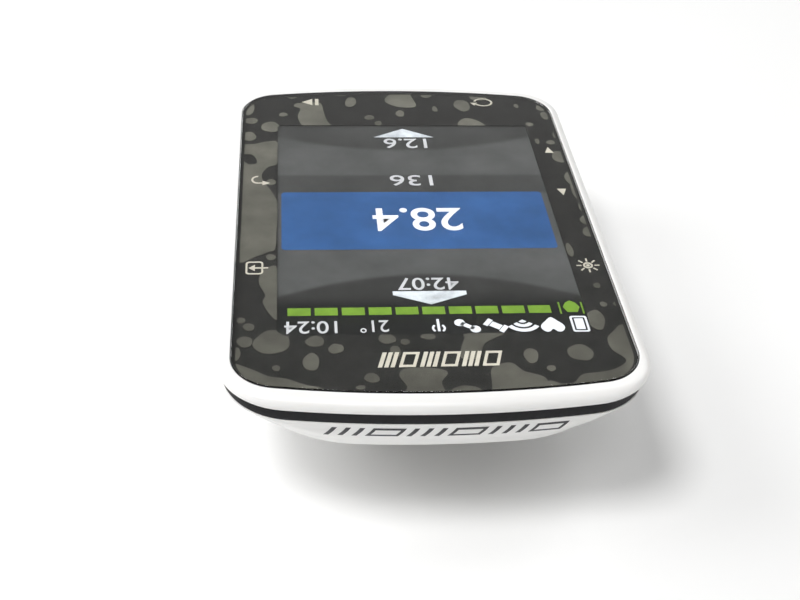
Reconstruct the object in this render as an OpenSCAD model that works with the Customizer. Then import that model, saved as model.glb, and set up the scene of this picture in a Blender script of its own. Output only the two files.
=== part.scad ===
// Handlebar GPS cycling computer, lying on its back on the quarter-turn mount.
// +X is the wearer's right when the screen is read, +Y points to the top of the screen, +Z comes out of the screen.
// The origin is the middle of the bounding box, on the surface that the mount rests on. Millimetres.

/* [Body] */
// Width of the casing without the side keys
body_w = 48.4; // [48.2:0.1:49.6]
// Casing end at the top of the screen, from the origin
body_top = 36.6; // [36.4:0.1:37.2]
// Casing end at the bottom of the screen, from the origin
body_bot = 35.6; // [35.4:0.1:36.2]
// Radius of the long arcs that close both ends
end_r = 127; // [120:1:140]
// Plan radius of the casing corners at the seam
corner_r = 8.2; // [8:0.1:8.6]
// Height of the lens face above the resting surface
total_h = 21; // [21:0.5:22]

/* [Seam] */
// Height of the front bezel's rounded rim
rim_h = 1.7; // [1.6:0.1:1.8]
// Height of the dark seal band
band_h = 1.55; // [1.4:0.05:1.6]
// How far the seal band sits back from the casing face
band_set = 0.16; // [0.1:0.02:0.3]

/* [Lens] */
// Lens width
lens_w = 45.5; // [45.2:0.1:45.6]
// Lens end at the top of the screen
lens_top = 34.6; // [34.4:0.1:34.8]
// Lens end at the bottom of the screen
lens_bot = 33.2; // [33:0.1:33.4]
// Lens thickness
lens_t = 1.0; // [0.9:0.05:1.0]
// Lens corner radius
lens_r = 5.3; // [5:0.1:5.6]
// Width of the lit picture
view_w = 35.9; // [35:0.1:36]
// Height of the lit picture
view_l = 47.5; // [46.5:0.1:47.6]
// How far the lit picture sits towards the top of the screen
view_y = 0.4; // [0:0.1:0.4]

/* [Keys] */
// Key length
key_l = 9.0; // [8:0.1:9.2]
// Key height
key_h = 2.4; // [2:0.1:2.4]
// How far a side key stands out of the casing
key_proud = 0.3; // [0.2:0.05:0.5]
// How far a bottom key stands out of the casing
end_key_proud = 1.14; // [0.6:0.02:1.2]
// Key travel
key_travel = 0.4; // [0.2:0.05:0.4]
// Position of the upper pair of side keys along the casing
key_y_top = 11.3; // [10:0.1:12]
// Position of the up key
key_y_up = -6; // [-7:0.1:-5]
// Position of the down key
key_y_down = -16.7; // [-18:0.1:-16.5]
// Position of the back key
key_y_back = -8.8; // [-10:0.1:-8]
// Bottom key angle about the centre of the end arc
end_key_a = 5.75; // [5.6:0.05:5.9]

/* [Mount] */
// Position of the quarter-turn mount along the casing
mount_y = 2; // [1:0.1:3]
// Neck radius of the mount
neck_r = 12.6; // [12.4:0.1:12.8]
// Radius over the two locking tabs
tab_r = 15.3; // [15:0.1:15.6]
// Half angle of one tab
tab_a = 27; // [20:1:32]
// Tab thickness
tab_t = 2.2; // [1.8:0.1:2.4]

/* [Hidden] */

NC = 8;              // steps round a corner
NE = 6;              // steps along an end arc
hw = body_w / 2;
z_lens = total_h - lens_t;        // underside of the lens, 20.0
z_ledge = z_lens - 0.15;          // shelf the lens is bonded to, 19.85
z_rim = total_h - 0.15;           // top of the bezel rim, 20.85
z_seam = total_h - rim_h;         // underside of the rim, 19.3
z_shell = z_seam - band_h;        // top of the rear housing, 17.75
wall = 1.8;                       // wall at the seam
z_lip = 17.45;                    // foot of the bezel's inner lip
z_belly = 5.4;                    // flat of the back
key_z = 15.85;                    // key centre line
board_z = 16.6;                   // underside of the main board
board_t = 0.8;
arc_cy = end_r - body_bot;        // centre of the bottom end arc on Y
fit = 0.07;

// ---------- outlines ----------
// Closed outline with straight sides, long end arcs and round corners; rb is the corner radius at the bottom end if it differs.
function cang(w, r, e) = acos((w - r) / (e - r));
function outline(w, yt, yb, r, e, rb) =
  let (q = is_undef(rb) ? r : rb, a = cang(w, r, e), b = cang(w, q, e), ty = yt - e, by = yb + e,
       cx = w - r, cy = (e - r) * sin(a), dx = w - q, dy = (e - q) * sin(b))
  concat(
    [for (i = [0:NC]) [cx + r * cos(a * i / NC), ty + cy + r * sin(a * i / NC)]],
    [for (i = [1:NE - 1]) let (t = a + (180 - 2 * a) * i / NE) [e * cos(t), ty + e * sin(t)]],
    [for (i = [0:NC]) let (t = 180 - a + a * i / NC) [-cx + r * cos(t), ty + cy + r * sin(t)]],
    [for (i = [0:NC]) let (t = 180 + b * i / NC) [-dx + q * cos(t), by - dy + q * sin(t)]],
    [for (i = [1:NE - 1]) let (t = 180 + b + (180 - 2 * b) * i / NE) [e * cos(t), by + e * sin(t)]],
    [for (i = [0:NC]) let (t = 360 - b + b * i / NC) [dx + q * cos(t), by - dy + q * sin(t)]]);

// Casing outline set in by s at the sides, t at the top end and b at the bottom end.
function body_line(s, t, b, r, rb) = outline(hw - s, body_top - t, -body_bot + b, r, end_r, rb);
function ring(s, z, r) = lift(body_line(s, s + 0.1, s, r), z);
function lift(pts, z) = [for (p = pts) [p[0], p[1], z]];
function lens_line(g) = outline(lens_w / 2 + g, lens_top + g, -lens_bot - g, lens_r + g, end_r - 1.7);

// Rounded rectangle, centred.
function rrect(w, l, r, n = 5) = [for (q = [0:3], i = [0:n])
  let (a = 90 * q + 90 * i / n, sx = (q == 0 || q == 3) ? 1 : -1, sy = q < 2 ? 1 : -1)
  [sx * (w / 2 - r) + r * cos(a), sy * (l / 2 - r) + r * sin(a)]];

// ---------- lofts ----------
// Solid skinned over stacked rings of equal point count, closed by a cap at both ends.
module loft(rings) {
  n = len(rings[0]); m = len(rings);
  polyhedron(
    points = [for (r = rings, p = r) p],
    faces = concat(
      [[for (i = [0:n - 1]) i]],
      [for (k = [0:m - 2], i = [0:n - 1]) [k * n + i, (k + 1) * n + i, k * n + (i + 1) % n]],
      [for (k = [0:m - 2], i = [0:n - 1]) [k * n + (i + 1) % n, (k + 1) * n + i, (k + 1) * n + (i + 1) % n]],
      [[for (i = [n - 1:-1:0]) (m - 1) * n + i]]),
    convexity = 6);
}
// Closed tube of rings, for frames that go all the way round.
module loft_loop(rings) {
  n = len(rings[0]); m = len(rings);
  polyhedron(
    points = [for (r = rings, p = r) p],
    faces = concat(
      [for (k = [0:m - 1], i = [0:n - 1]) let (j = (k + 1) % m) [k * n + i, j * n + i, k * n + (i + 1) % n]],
      [for (k = [0:m - 1], i = [0:n - 1]) let (j = (k + 1) % m) [k * n + (i + 1) % n, j * n + i, j * n + (i + 1) % n]]),
    convexity = 6);
}
module slab(pts, z0, z1) { translate([0, 0, z0]) linear_extrude(z1 - z0) polygon(pts); }
module ring_slab(outer, inner, z0, z1) {
  translate([0, 0, z0]) linear_extrude(z1 - z0) difference() { polygon(outer); polygon(inner); }
}
module box(x0, x1, y0, y1, z0, z1) { translate([x0, y0, z0]) cube([x1 - x0, y1 - y0, z1 - z0]); }
// Rod of radius r along points in a plane of constant X.
module lead(x, path, r, n = 8) {
  m = len(path);
  dir = [for (i = [0:m - 1]) let (a = path[max(0, i - 1)], b = path[min(m - 1, i + 1)], d = b - a) d / norm(d)];
  loft([for (i = [0:m - 1]) [for (k = [0:n - 1])
    [x + r * cos(360 * k / n), path[i][0] - r * sin(360 * k / n) * dir[i][1], path[i][1] + r * sin(360 * k / n) * dir[i][0]]]]);
}

// ---------- front ----------
module front_lens() {
  color([0.05, 0.05, 0.06])
    loft([lift(lens_line(0), z_lens), lift(lens_line(0), total_h - 0.18), lift(lens_line(-0.06), total_h - 0.06), lift(lens_line(-0.2), total_h)]);
}
// Black adhesive frame between lens and bezel, with the picture window cut out.
module lens_mask() {
  color([0.12, 0.12, 0.11])
    ring_slab(lens_line(-0.45), [for (p = rrect(view_w + 0.4, view_l + 0.4, 0.4)) [p[0], p[1] + view_y]], z_ledge, z_lens);
}
open_w = 39.2; open_l = 51.2;
// The outline points of the display opening, in step with the casing outline.
function open_line(g) = outline(open_w / 2 + g, open_l / 2 + g, -open_l / 2 - g, 1.2 + g, 4000);
// The rim's corners are full at the seam and tighten towards the lens. u runs from the casing face to the lens,
// k tucks the ends in below, c blends the corner radius.
function rim_line(u, k, c) = outline(hw - u * (hw - lens_w / 2 - fit), body_top - u * (body_top - lens_top - fit) - 0.143 * k,
  -body_bot + u * (body_bot - lens_bot - fit) + 0.143 * k, lens_r + fit + c * (corner_r + 0.3 - lens_r - fit), end_r - 1.7 * u);
rim_profile = [[0.05, 0, 1, 1], [0, 0.12, 0.7, 0.85], [0.015, 0.42, 0.53, 0.6], [0.08, 0.72, 0.35, 0.42], [0.2, 1.0, 0.15, 0.28],
  [0.37, 1.25, 0.05, 0.15], [0.58, 1.43, 0, 0.07], [0.8, 1.53, 0, 0.03], [0.95, 1.55, 0, 0], [1, 1.5, 0, 0]];
module front_bezel() {
  color([0.95, 0.94, 0.92])
    loft_loop(concat(
      [for (p = rim_profile) lift(rim_line(p[0], p[2], p[3]), z_seam + p[1] * (z_rim - z_seam) / 1.55)],
      [lift(lens_line(fit), z_ledge), lift(open_line(0), z_ledge), lift(open_line(0), z_ledge - 1.05),
       ring(3.0, z_ledge - 1.05, 4.2), ring(3.0, z_lip, 4.2), ring(1.9, z_lip, 6.4), ring(1.9, z_seam, 6.4)]));
}

// ---------- key positions ----------
// Places a child drawn with its outward direction on +X and its middle at the wall's inner face.
module on_right(y) { translate([hw - wall, y, key_z]) children(); }
module on_left(y) { translate([-hw + wall, y, key_z]) rotate([0, 0, 180]) children(); }
module on_end(a) { translate([0, arc_cy, key_z]) rotate([0, 0, a - 90]) translate([end_r - wall, 0, 0]) children(); }
module every_key() {
  on_left(key_y_top) children();
  on_left(key_y_up) children();
  on_left(key_y_down) children();
  on_right(key_y_top) children();
  on_right(key_y_back) children();
  on_end(-end_key_a) children();
  on_end(end_key_a) children();
}
// Round-ended bar across Y and Z, between two X stations.
module pill(l, h, x0, x1) { translate([x0, 0, 0]) rotate([90, 0, 90]) linear_extrude(x1 - x0) polygon(rrect(l, h, h / 2 - 0.01, 6)); }

// ---------- seal band ----------
tab_w = key_l + 1.5; tab_z = 14.3;
// Flat-topped shape with two round lower corners, across Y and Z, between two X stations.
function ushape(w, z0, z1, r, n = 6) = concat([[w / 2, z1], [-w / 2, z1]],
  [for (i = [0:n]) let (a = 180 + 90 * i / n) [-w / 2 + r + r * cos(a), z0 + r + r * sin(a)]],
  [for (i = [0:n]) let (a = 270 + 90 * i / n) [w / 2 - r + r * cos(a), z0 + r + r * sin(a)]]);
module surround(g, x0, x1, z1) { translate([x0, 0, 0]) rotate([90, 0, 90]) linear_extrude(x1 - x0) polygon(ushape(tab_w + 2 * g, tab_z - key_z - g, z1 - key_z, 1.5 + g)); }
module seal_band() {
  color([0.05, 0.05, 0.055]) difference() {
    union() {
      ring_slab(body_line(band_set + 0.18, band_set + 0.24, band_set + 0.14, corner_r), body_line(wall, wall + 0.1, wall, 6.5), z_shell, z_seam);
      every_key() surround(0, 0.02, wall - band_set - 0.24, z_shell + 0.2);
    }
    every_key() pill(key_l + 0.2, key_h + 0.2, -1, 3);
  }
}

// ---------- rear housing ----------
// Height, side inset, top inset, bottom inset, corner radius at the top and at the bottom end.
skin = [[z_shell, 0.3, 0.37, 0.27, corner_r, corner_r], [z_shell - 0.12, 0.24, 0.33, 0.22, corner_r + 0.2, corner_r],
  [16.5, 0.27, 0.45, 0.26, 11.0, 8.4], [15.0, 0.4, 1.05, 0.44, 13.6, 8.9], [14.0, 0.6, 1.6, 0.78, 15.0, 9.4], [13.4, 0.82, 1.95, 1.3, 15.0, 9.9],
  [12.8, 1.1, 2.4, 2.27, 15.0, 10.6], [12.0, 1.5, 4.0, 3.92, 13.6, 11.2], [11.0, 2.1, 6.1, 6.0, 12.6, 12.0], [9.8, 2.9, 8.6, 8.5, 12.4, 12.4],
  [8.4, 4.1, 11.5, 11.4, 12.4, 12.4], [7.0, 5.8, 14.7, 14.6, 11.6, 11.6], [6.0, 7.5, 17.5, 17.4, 10.2, 10.2], [5.55, 8.7, 19.3, 19.2, 9.2, 9.2],
  [z_belly, 9.7, 20.7, 20.6, 8.4, 8.4]];
cavity = [[z_shell + 0.5, 1.8, 1.9, 1.8, 6.5, 6.5], [17.4, 1.8, 1.92, 1.8, 6.5, 6.5], [16.2, 1.84, 2.0, 1.82, 8.6, 6.6], [15.0, 1.97, 2.45, 1.9, 11.4, 7.0],
  [15.0, 2.02, 2.5, 9.5, 11.4, 6.9], [14.25, 2.2, 3.0, 9.5, 12.4, 7.2], [13.2, 2.7, 4.0, 9.5, 12.4, 8], [12.0, 3.3, 6.3, 9.6, 11.8, 8.8],
  [10.6, 4.2, 9.3, 11.0, 11, 10], [9.0, 5.4, 12.7, 13.6, 11, 11], [7.8, 6.8, 15.5, 16.4, 10.4, 10.4], [7.2, 8.2, 17.7, 18.4, 9.2, 9.2]];
module skin_solid() { loft([for (i = [len(skin) - 1:-1:0]) let (s = skin[i]) lift(body_line(s[1], s[2], s[3], s[4], s[5]), s[0])]); }
module cavity_solid() { loft([for (i = [len(cavity) - 1:-1:0]) let (s = cavity[i]) lift(body_line(s[1], s[2], s[3], s[4], s[5]), s[0])]); }
screw_xy = [[15.8, 24], [-15.8, 24], [16.6, -21.8], [-16.6, -21.8]];
puck_screw_xy = [for (a = [45:90:315]) [9 * cos(a), mount_y + 9 * sin(a)]];
pocket_w = 12.6; pocket_y = -27; pocket_z = 14.35;
vent_xy = [9, -13.6];
// Height of the sloping underside beside the connector bay, at a position along the casing
function slope(y) = 9.8 - 0.4828 * (y + 27);
// Shape across Y and Z, between two X stations
module across_x(x0, x1, pts) { translate([x0, 0, 0]) rotate([90, 0, 90]) linear_extrude(x1 - x0) polygon(pts); }
module rear_housing() {
  color([0.95, 0.94, 0.92]) difference() {
    skin_solid();
    difference() {
      cavity_solid();
      for (p = screw_xy) translate([p[0], p[1], 5]) cylinder(r = 2.6, h = 7.8, $fn = 32);
      for (p = puck_screw_xy) translate([p[0], p[1], 5]) cylinder(r = 1.8, h = 4.2, $fn = 32);
    }
    // notches for the seal band's key surrounds
    every_key() surround(0.05, -1.15, 4, z_shell + 2);
    // case screws: counterbore and clearance hole
    for (p = screw_xy) {
      translate([p[0], p[1], -1]) cylinder(r = 1.9, h = 12, $fn = 32);
      translate([p[0], p[1], 10]) cylinder(r = 0.85, h = 4, $fn = 32);
    }
    // seat and pilot holes for the mount
    translate([0, mount_y, -1]) cylinder(r = 13.3, h = 7.4, $fn = 64);
    for (p = puck_screw_xy) translate([p[0], p[1], 0]) cylinder(r = 0.65, h = 8.9, $fn = 32);
    // connector bay and the opening into it
    box(-pocket_w / 2, pocket_w / 2, -40, pocket_y, 4, pocket_z);
    box(-4.0, 4.0, pocket_y - 1, pocket_y + 5, usb_z - 1.98, usb_z + 1.93);
    box(-5.0, 5.0, -24.9, -21.9, usb_z - 2.6, 15.4);
    // seat of the cover's tether
    across_x(-3.1, 3.1, [[-27.1, 6], [-27.1, slope(-27.1) + 0.5], [-24.05, slope(-24.05) + 0.5], [-24.05, 6]]);
    // breather hole behind the membrane
    translate([vent_xy[0], vent_xy[1], 0]) cylinder(r = 0.8, h = 9, $fn = 32);
    // lanyard tunnel: two drillings joined behind a bar
    for (x = [9.6, 13.2]) translate([x, -28.8, 8]) cylinder(r = 0.95, h = 5.3, $fn = 32);
    translate([9.6, -28.8, 12.55]) rotate([0, 90, 0]) cylinder(r = 0.75, h = 3.6, $fn = 32);
  }
}

// ---------- quarter-turn mount ----------
module tab(a0) {
  rotate([0, 0, a0 - tab_a]) rotate_extrude(angle = 2 * tab_a, $fn = 96)
    polygon([[neck_r - 1.5, 0], [tab_r - 0.5, 0], [tab_r, 0.5], [tab_r, tab_t - 0.25], [tab_r - 0.25, tab_t], [neck_r - 1.5, tab_t]]);
}
module mount_puck() {
  color([0.06, 0.06, 0.065]) translate([0, mount_y, 0]) difference() {
    union() {
      rotate_extrude($fn = 96) polygon([[0, 0.9], [9.9, 0.9], [10.7, 0], [neck_r - 0.3, 0], [neck_r, 0.3], [neck_r, z_belly], [13.2, z_belly], [13.2, z_belly + 0.95], [0, z_belly + 0.95]]);
      tab(0);
      tab(180);
    }
    for (a = [45:90:315]) translate([9 * cos(a), 9 * sin(a), -1]) {
      cylinder(r = 1.75, h = 3.2, $fn = 32);
      cylinder(r = 0.85, h = 9, $fn = 32);
    }
    // detent notches in the tab faces
    for (s = [-1, 1]) translate([s * (tab_r + 0.35), 0, -1]) cylinder(r = 0.9, h = 5, $fn = 32);
    // moulding relief, leaves a cross of ribs
    for (a = [0:90:270]) rotate([0, 0, a]) translate([1.1, 1.1, -1]) linear_extrude(3.4) polygon([[0, 0], [4.4, 0], [3.9, 1.6], [1.6, 3.9], [0, 4.4]]);
  }
}
// Pan-head screw, drive downwards, head face at z = 0.
module screw(head_r, head_h, shank_r, len, drive) {
  difference() {
    union() {
      cylinder(r = head_r, h = head_h, $fn = 32);
      translate([0, 0, head_h]) cylinder(r = shank_r, h = len, $fn = 32);
    }
    translate([0, 0, -0.1]) cylinder(r = drive, h = head_h * 0.6 + 0.1, $fn = 6);
  }
}
module mount_screws() { color([0.55, 0.55, 0.57]) for (p = puck_screw_xy) translate([p[0], p[1], 1.25]) screw(1.55, 0.9, 0.6, 6.4, 0.75); }
module case_screws() { color([0.5, 0.5, 0.52]) for (p = screw_xy) translate([p[0], p[1], 10.0]) screw(1.7, 0.95, 0.7, 5.6, 0.85); }

// ---------- connector cover ----------
hinge_y = -26.85; hinge_z = 9.62;
module usb_cover() {
  color([0.07, 0.07, 0.075]) difference() {
    union() {
      intersection() {
        skin_solid();
        box(-pocket_w / 2 + 0.15, pocket_w / 2 - 0.15, -40, pocket_y - 0.12, 4, pocket_z - 0.12);
      }
      // plug that seals the mouth
      box(-2.6, 2.6, pocket_y - 1, pocket_y + 0.8, usb_z - 0.8, usb_z + 0.8);
    }
    // finger-nail notch at the free edge
    translate([0, -35.35, pocket_z - 0.1]) rotate([0, 90, 0]) translate([0, 0, -2.5]) cylinder(r = 0.9, h = 5, $fn = 32);
  }
}
// Fixed end of the rubber tether, held in its seat in the housing.
module usb_cover_tether() {
  color([0.07, 0.07, 0.075])
    across_x(-3, 3, [[-26.98, slope(-26.98) + 0.03], [-26.98, slope(-26.98) + 0.44], [-24.12, slope(-24.12) + 0.44], [-24.12, slope(-24.12) + 0.03]]);
}
// Mini five-way receptacle, mouth towards -Y.
function mini(w, h, c) = [[-w / 2, h / 2], [w / 2, h / 2], [w / 2, -h / 2 + c], [w / 2 - c * 0.8, -h / 2], [-w / 2 + c * 0.8, -h / 2], [-w / 2, -h / 2 + c]];
usb_z = 12.5;
module along_y(y0, y1) { translate([0, y1, usb_z]) rotate([90, 0, 0]) linear_extrude(y1 - y0) children(); }
module usb_shell() {
  color([0.75, 0.75, 0.77]) difference() {
    along_y(-26.9, -17.9) polygon(mini(7.7, 3.7, 1.3));
    along_y(-28, -18.5) polygon(mini(7.1, 3.1, 1.15));
  }
}
module usb_tongue() {
  color([0.1, 0.1, 0.1]) union() {
    box(-1.9, 1.9, -25.7, -20.1, usb_z - 0.3, usb_z + 0.5);
    box(-3.0, 3.0, -20.1, -18.55, usb_z - 1.1, usb_z + 1.4);
  }
}
module usb_gasket() { color([0.3, 0.3, 0.32]) difference() { box(-4.9, 4.9, -24.8, -24.15, usb_z - 2.55, usb_z + 1.88); along_y(-25.2, -24) polygon(mini(7.8, 3.79, 1.3)); } }
module usb_board() { color([0.05, 0.3, 0.16]) box(-6.4, 6.4, -25.6, -17.2, usb_z + 1.9, usb_z + 2.6); }
module board_connector() { color([0.9, 0.88, 0.8]) box(-3.5, 3.5, -23.6, -20.8, usb_z + 2.6, board_z); }

// ---------- display ----------
module display_polarizer() { color([0.1, 0.1, 0.11]) slab(rrect(37.4, 49, 0.3), 19.65, 19.8); }
module display_glass() { color([0.35, 0.38, 0.4]) slab(rrect(38.6, 50.6, 0.4), 18.85, 19.65); }
module backlight() { color([0.92, 0.92, 0.9]) box(-18.95, 18.95, -23.8, 25.0, 17.95, 18.85); }
module display_frame() {
  color([0.8, 0.8, 0.8]) difference() {
    ring_slab(rrect(39.0, 51.0, 0.6), rrect(38.2, 50.2, 0.3), 17.95, 18.8);
    box(-6.6, 6.6, -26, -24.9, 18.45, 19);
  }
}
module display_flex() {
  color([0.8, 0.5, 0.12]) translate([-6, 0, 0]) rotate([90, 0, 90]) linear_extrude(12)
    polygon([[-24.1, 18.78], [-24.1, 18.66], [-26.5, 18.66], [-27.0, 18.32], [-28.8, 18.32], [-28.8, 18.44], [-27.05, 18.44], [-26.55, 18.78]]);
}
module flex_connector() { color([0.15, 0.13, 0.12]) box(-6.8, 6.8, -29.6, -27.4, board_z + board_t, 18.3); }

// ---------- chassis and boards ----------
module chassis() {
  color([0.12, 0.12, 0.13]) difference() {
    union() {
      translate([0, 0, board_z + board_t]) linear_extrude(0.55) difference() {
        polygon(body_line(3.1, 3.2, 3.1, 4.1));
        translate([0, 29.4]) square([22, 6.4], center = true);
        translate([0, -28.4]) square([15.2, 4.0], center = true);
        for (x = [-8.5, 8.5], y = [-14, 1, 16]) translate([x, y]) polygon(rrect(12, 11, 2));
      }
      ring_slab(body_line(3.1, 3.2, 3.1, 4.1), body_line(4.0, 4.1, 4.0, 3.2), 17.95, 18.78);
      for (p = screw_xy) translate([p[0], p[1], 12.9]) cylinder(r = 2.1, h = 4.6, $fn = 32);
    }
    for (p = screw_xy) translate([p[0], p[1], 12]) cylinder(r = 0.76, h = 5.2, $fn = 32);
  }
}
module main_board() {
  color([0.04, 0.32, 0.17]) translate([0, 0, board_z]) linear_extrude(board_t) difference() {
    translate([0, 0.5]) polygon(rrect(40.6, 63.6, 4.2));
    for (p = screw_xy) translate([p[0], p[1]]) circle(r = 2.3, $fn = 32);
  }
}
module gps_antenna() { color([0.85, 0.8, 0.68]) box(-10, 10, 26.4, 31.8, board_z + board_t, 18.72); }
module can(x0, x1, y0, y1) {
  difference() {
    box(x0, x1, y0, y1, 15.3, board_z);
    box(x0 + 0.2, x1 - 0.2, y0 + 0.2, y1 - 0.2, 15.5, board_z + 1);
  }
}
module shield_cans() { color([0.72, 0.72, 0.73]) { can(-14, 1, 0, 19); can(3.5, 14.5, -6, 14); } }
module board_chips() {
  color([0.1, 0.1, 0.1]) {
    box(-11.5, -2.5, 7, 16, 15.6, board_z);
    box(-10, -4, 1.6, 5, 15.8, board_z);
    box(5.5, 12.5, 2, 9, 15.7, board_z);
    box(6, 10, -4, -0.5, 15.8, board_z);
    box(-12, -7.5, -14, -9, 15.5, board_z);
    box(-3, 2, -12, -8.5, 15.7, board_z);
  }
}
module radio_antenna() { color([0.9, 0.9, 0.88]) box(2, 11, 29.6, 31.4, 15.5, board_z); }
module pressure_sensor() { color([0.7, 0.7, 0.7]) difference() { box(5, 8, -17.5, -14.5, 15.6, board_z); translate([6.5, -16, 15]) cylinder(r = 0.4, h = 0.9, $fn = 24); } }
module vent_membrane() { color([0.97, 0.97, 0.96]) translate([vent_xy[0], vent_xy[1], 7.2]) cylinder(r = 2.2, h = 0.25, $fn = 48); }
module buzzer() {
  color([0.1, 0.1, 0.11]) translate([-7.6, 26.4, 13.9]) difference() {
    cylinder(r = 5, h = board_z - 13.9, $fn = 48);
    translate([0, 0, -0.1]) cylinder(r = 0.9, h = 0.9, $fn = 24);
  }
}
module battery() {
  color([0.75, 0.76, 0.78]) union() {
    translate([0, 2, 11.8]) rotate([90, 0, 0]) translate([0, 0, -17]) linear_extrude(34) polygon(rrect(30, 4.8, 1.6));
    box(-12, 12, 19, 20.4, 12.4, 13.8);
  }
}
module battery_leads() {
  color([0.7, 0.08, 0.06]) {
    lead(8.2, [[20.42, 13.1], [21.4, 13.1], [22.3, 13.3], [22.9, 13.9], [23.1, 14.7], [23.1, 15.1]], 0.42);
    lead(10.2, [[20.42, 13.1], [21.4, 13.1], [22.3, 13.3], [22.9, 13.9], [23.1, 14.7], [23.1, 15.1]], 0.42);
  }
}
module battery_connector() { color([0.93, 0.92, 0.88]) box(6.6, 11.8, 21.2, 24.8, 15.12, board_z); }
module battery_pad() {
  color([0.25, 0.25, 0.26]) difference() {
    box(-9.5, 9.5, -9, 13, 7.2, 9.38);
    for (p = puck_screw_xy) translate([p[0], p[1], 5]) cylinder(r = 2.0, h = 6, $fn = 32);
  }
}
module board_foam() { color([0.2, 0.2, 0.21]) box(-11, 11, -4, 16, 14.22, 15.28); }

// ---------- keys ----------
module key_body(proud) {
  union() {
    pill(key_l, key_h, -0.3, wall + proud - 0.15);
    pill(key_l - 0.3, key_h - 0.3, -0.3, wall + proud);
    pill(key_l + 1.4, key_h + 0.6, -0.65, -0.1);
    translate([-1.15, 0, 0]) rotate([0, 90, 0]) cylinder(r = 0.75, h = 0.7, $fn = 32);
  }
}
module plunger() { translate([-2.2, 0, 0]) rotate([0, 90, 0]) cylinder(r = 0.55, h = 1.0, $fn = 32); }
module switch_case() {
  difference() {
    translate([-4.9, -2.3, -0.75]) cube([3.15, 4.6, 1.5]);
    translate([-2.85, 0, 0]) rotate([0, 90, 0]) cylinder(r = 0.62, h = 2, $fn = 32);
  }
}
module key_switches() { color([0.78, 0.78, 0.8]) every_key() switch_case(); }
module rubber() { color([0.07, 0.07, 0.075]) children(); }
module steel() { color([0.15, 0.15, 0.15]) children(); }
module power_key() { rubber() on_left(key_y_top) key_body(key_proud); }
module up_key() { rubber() on_left(key_y_up) key_body(key_proud); }
module down_key() { rubber() on_left(key_y_down) key_body(key_proud); }
module enter_key() { rubber() on_right(key_y_top) key_body(key_proud); }
module back_key() { rubber() on_right(key_y_back) key_body(key_proud); }
module lap_key() { rubber() on_end(-end_key_a) key_body(end_key_proud); }
module start_key() { rubber() on_end(end_key_a) key_body(end_key_proud); }
module power_plunger() { steel() on_left(key_y_top) plunger(); }
module up_plunger() { steel() on_left(key_y_up) plunger(); }
module down_plunger() { steel() on_left(key_y_down) plunger(); }
module enter_plunger() { steel() on_right(key_y_top) plunger(); }
module back_plunger() { steel() on_right(key_y_back) plunger(); }
module lap_plunger() { steel() on_end(-end_key_a) plunger(); }
module start_plunger() { steel() on_end(end_key_a) plunger(); }

front_lens();
lens_mask();
front_bezel();
seal_band();
rear_housing();
mount_puck();
mount_screws();
case_screws();
usb_cover();
usb_cover_tether();
usb_shell();
usb_tongue();
usb_gasket();
usb_board();
board_connector();
display_polarizer();
display_glass();
backlight();
display_frame();
display_flex();
flex_connector();
chassis();
main_board();
gps_antenna();
shield_cans();
board_chips();
radio_antenna();
pressure_sensor();
vent_membrane();
buzzer();
battery();
battery_leads();
battery_connector();
battery_pad();
board_foam();
key_switches();
power_key();
up_key();
down_key();
enter_key();
back_key();
lap_key();
start_key();
power_plunger();
up_plunger();
down_plunger();
enter_plunger();
back_plunger();
lap_plunger();
start_plunger();
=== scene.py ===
import math
import random
import bpy, bmesh
from mathutils import Vector, Matrix
from mathutils.geometry import tessellate_polygon


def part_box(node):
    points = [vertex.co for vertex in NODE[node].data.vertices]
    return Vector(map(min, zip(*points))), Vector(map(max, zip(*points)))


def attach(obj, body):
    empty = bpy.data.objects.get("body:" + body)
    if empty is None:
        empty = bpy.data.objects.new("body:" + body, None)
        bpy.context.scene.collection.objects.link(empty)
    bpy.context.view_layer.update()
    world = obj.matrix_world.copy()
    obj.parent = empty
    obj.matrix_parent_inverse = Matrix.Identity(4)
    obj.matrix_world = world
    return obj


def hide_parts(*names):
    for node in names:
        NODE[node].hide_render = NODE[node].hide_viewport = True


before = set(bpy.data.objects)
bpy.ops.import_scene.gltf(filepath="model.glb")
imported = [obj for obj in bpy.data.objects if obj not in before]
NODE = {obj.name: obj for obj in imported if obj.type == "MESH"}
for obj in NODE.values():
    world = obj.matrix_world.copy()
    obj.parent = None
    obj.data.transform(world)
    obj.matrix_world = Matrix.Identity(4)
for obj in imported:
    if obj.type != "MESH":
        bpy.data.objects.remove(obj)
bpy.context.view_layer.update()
MM = 0.001
scene = bpy.context.scene


# ------------------------------------------------------------------ camera
def aim(obj, loc, right, up, fwd):
    m = Matrix((
        (right[0], up[0], -fwd[0], loc[0]),
        (right[1], up[1], -fwd[1], loc[1]),
        (right[2], up[2], -fwd[2], loc[2]),
        (0, 0, 0, 1)))
    obj.matrix_world = m


cam_data = bpy.data.cameras.new("camera")
cam = bpy.data.objects.new("camera", cam_data)
scene.collection.objects.link(cam)
cam_data.sensor_width = 36.0
cam_data.lens = 53.51
cam_data.clip_start = 0.005
cam_data.clip_end = 20.0
fwd = Vector((-0.09155, -0.78786, -0.60902)).normalized()
right = Vector((-0.99573, 0.07966, 0.04663))
right = (right - fwd * right.dot(fwd)).normalized()
up = right.cross(fwd)
aim(cam, Vector((16.11, 127.98, 105.56)) * MM, right, up, fwd)
scene.camera = cam


# ------------------------------------------------------------------ materials
def new_mat(name):
    m = bpy.data.materials.new(name)
    m.use_nodes = True
    nt = m.node_tree
    return m, nt, nt.nodes["Principled BSDF"]


def coords(nt, scale=1000.0):
    """Object coordinates in millimetres."""
    tc = nt.nodes.new("ShaderNodeTexCoord")
    mp = nt.nodes.new("ShaderNodeMapping")
    mp.inputs["Scale"].default_value = (scale, scale, scale)
    nt.links.new(tc.outputs["Object"], mp.inputs["Vector"])
    return mp.outputs["Vector"]


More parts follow.
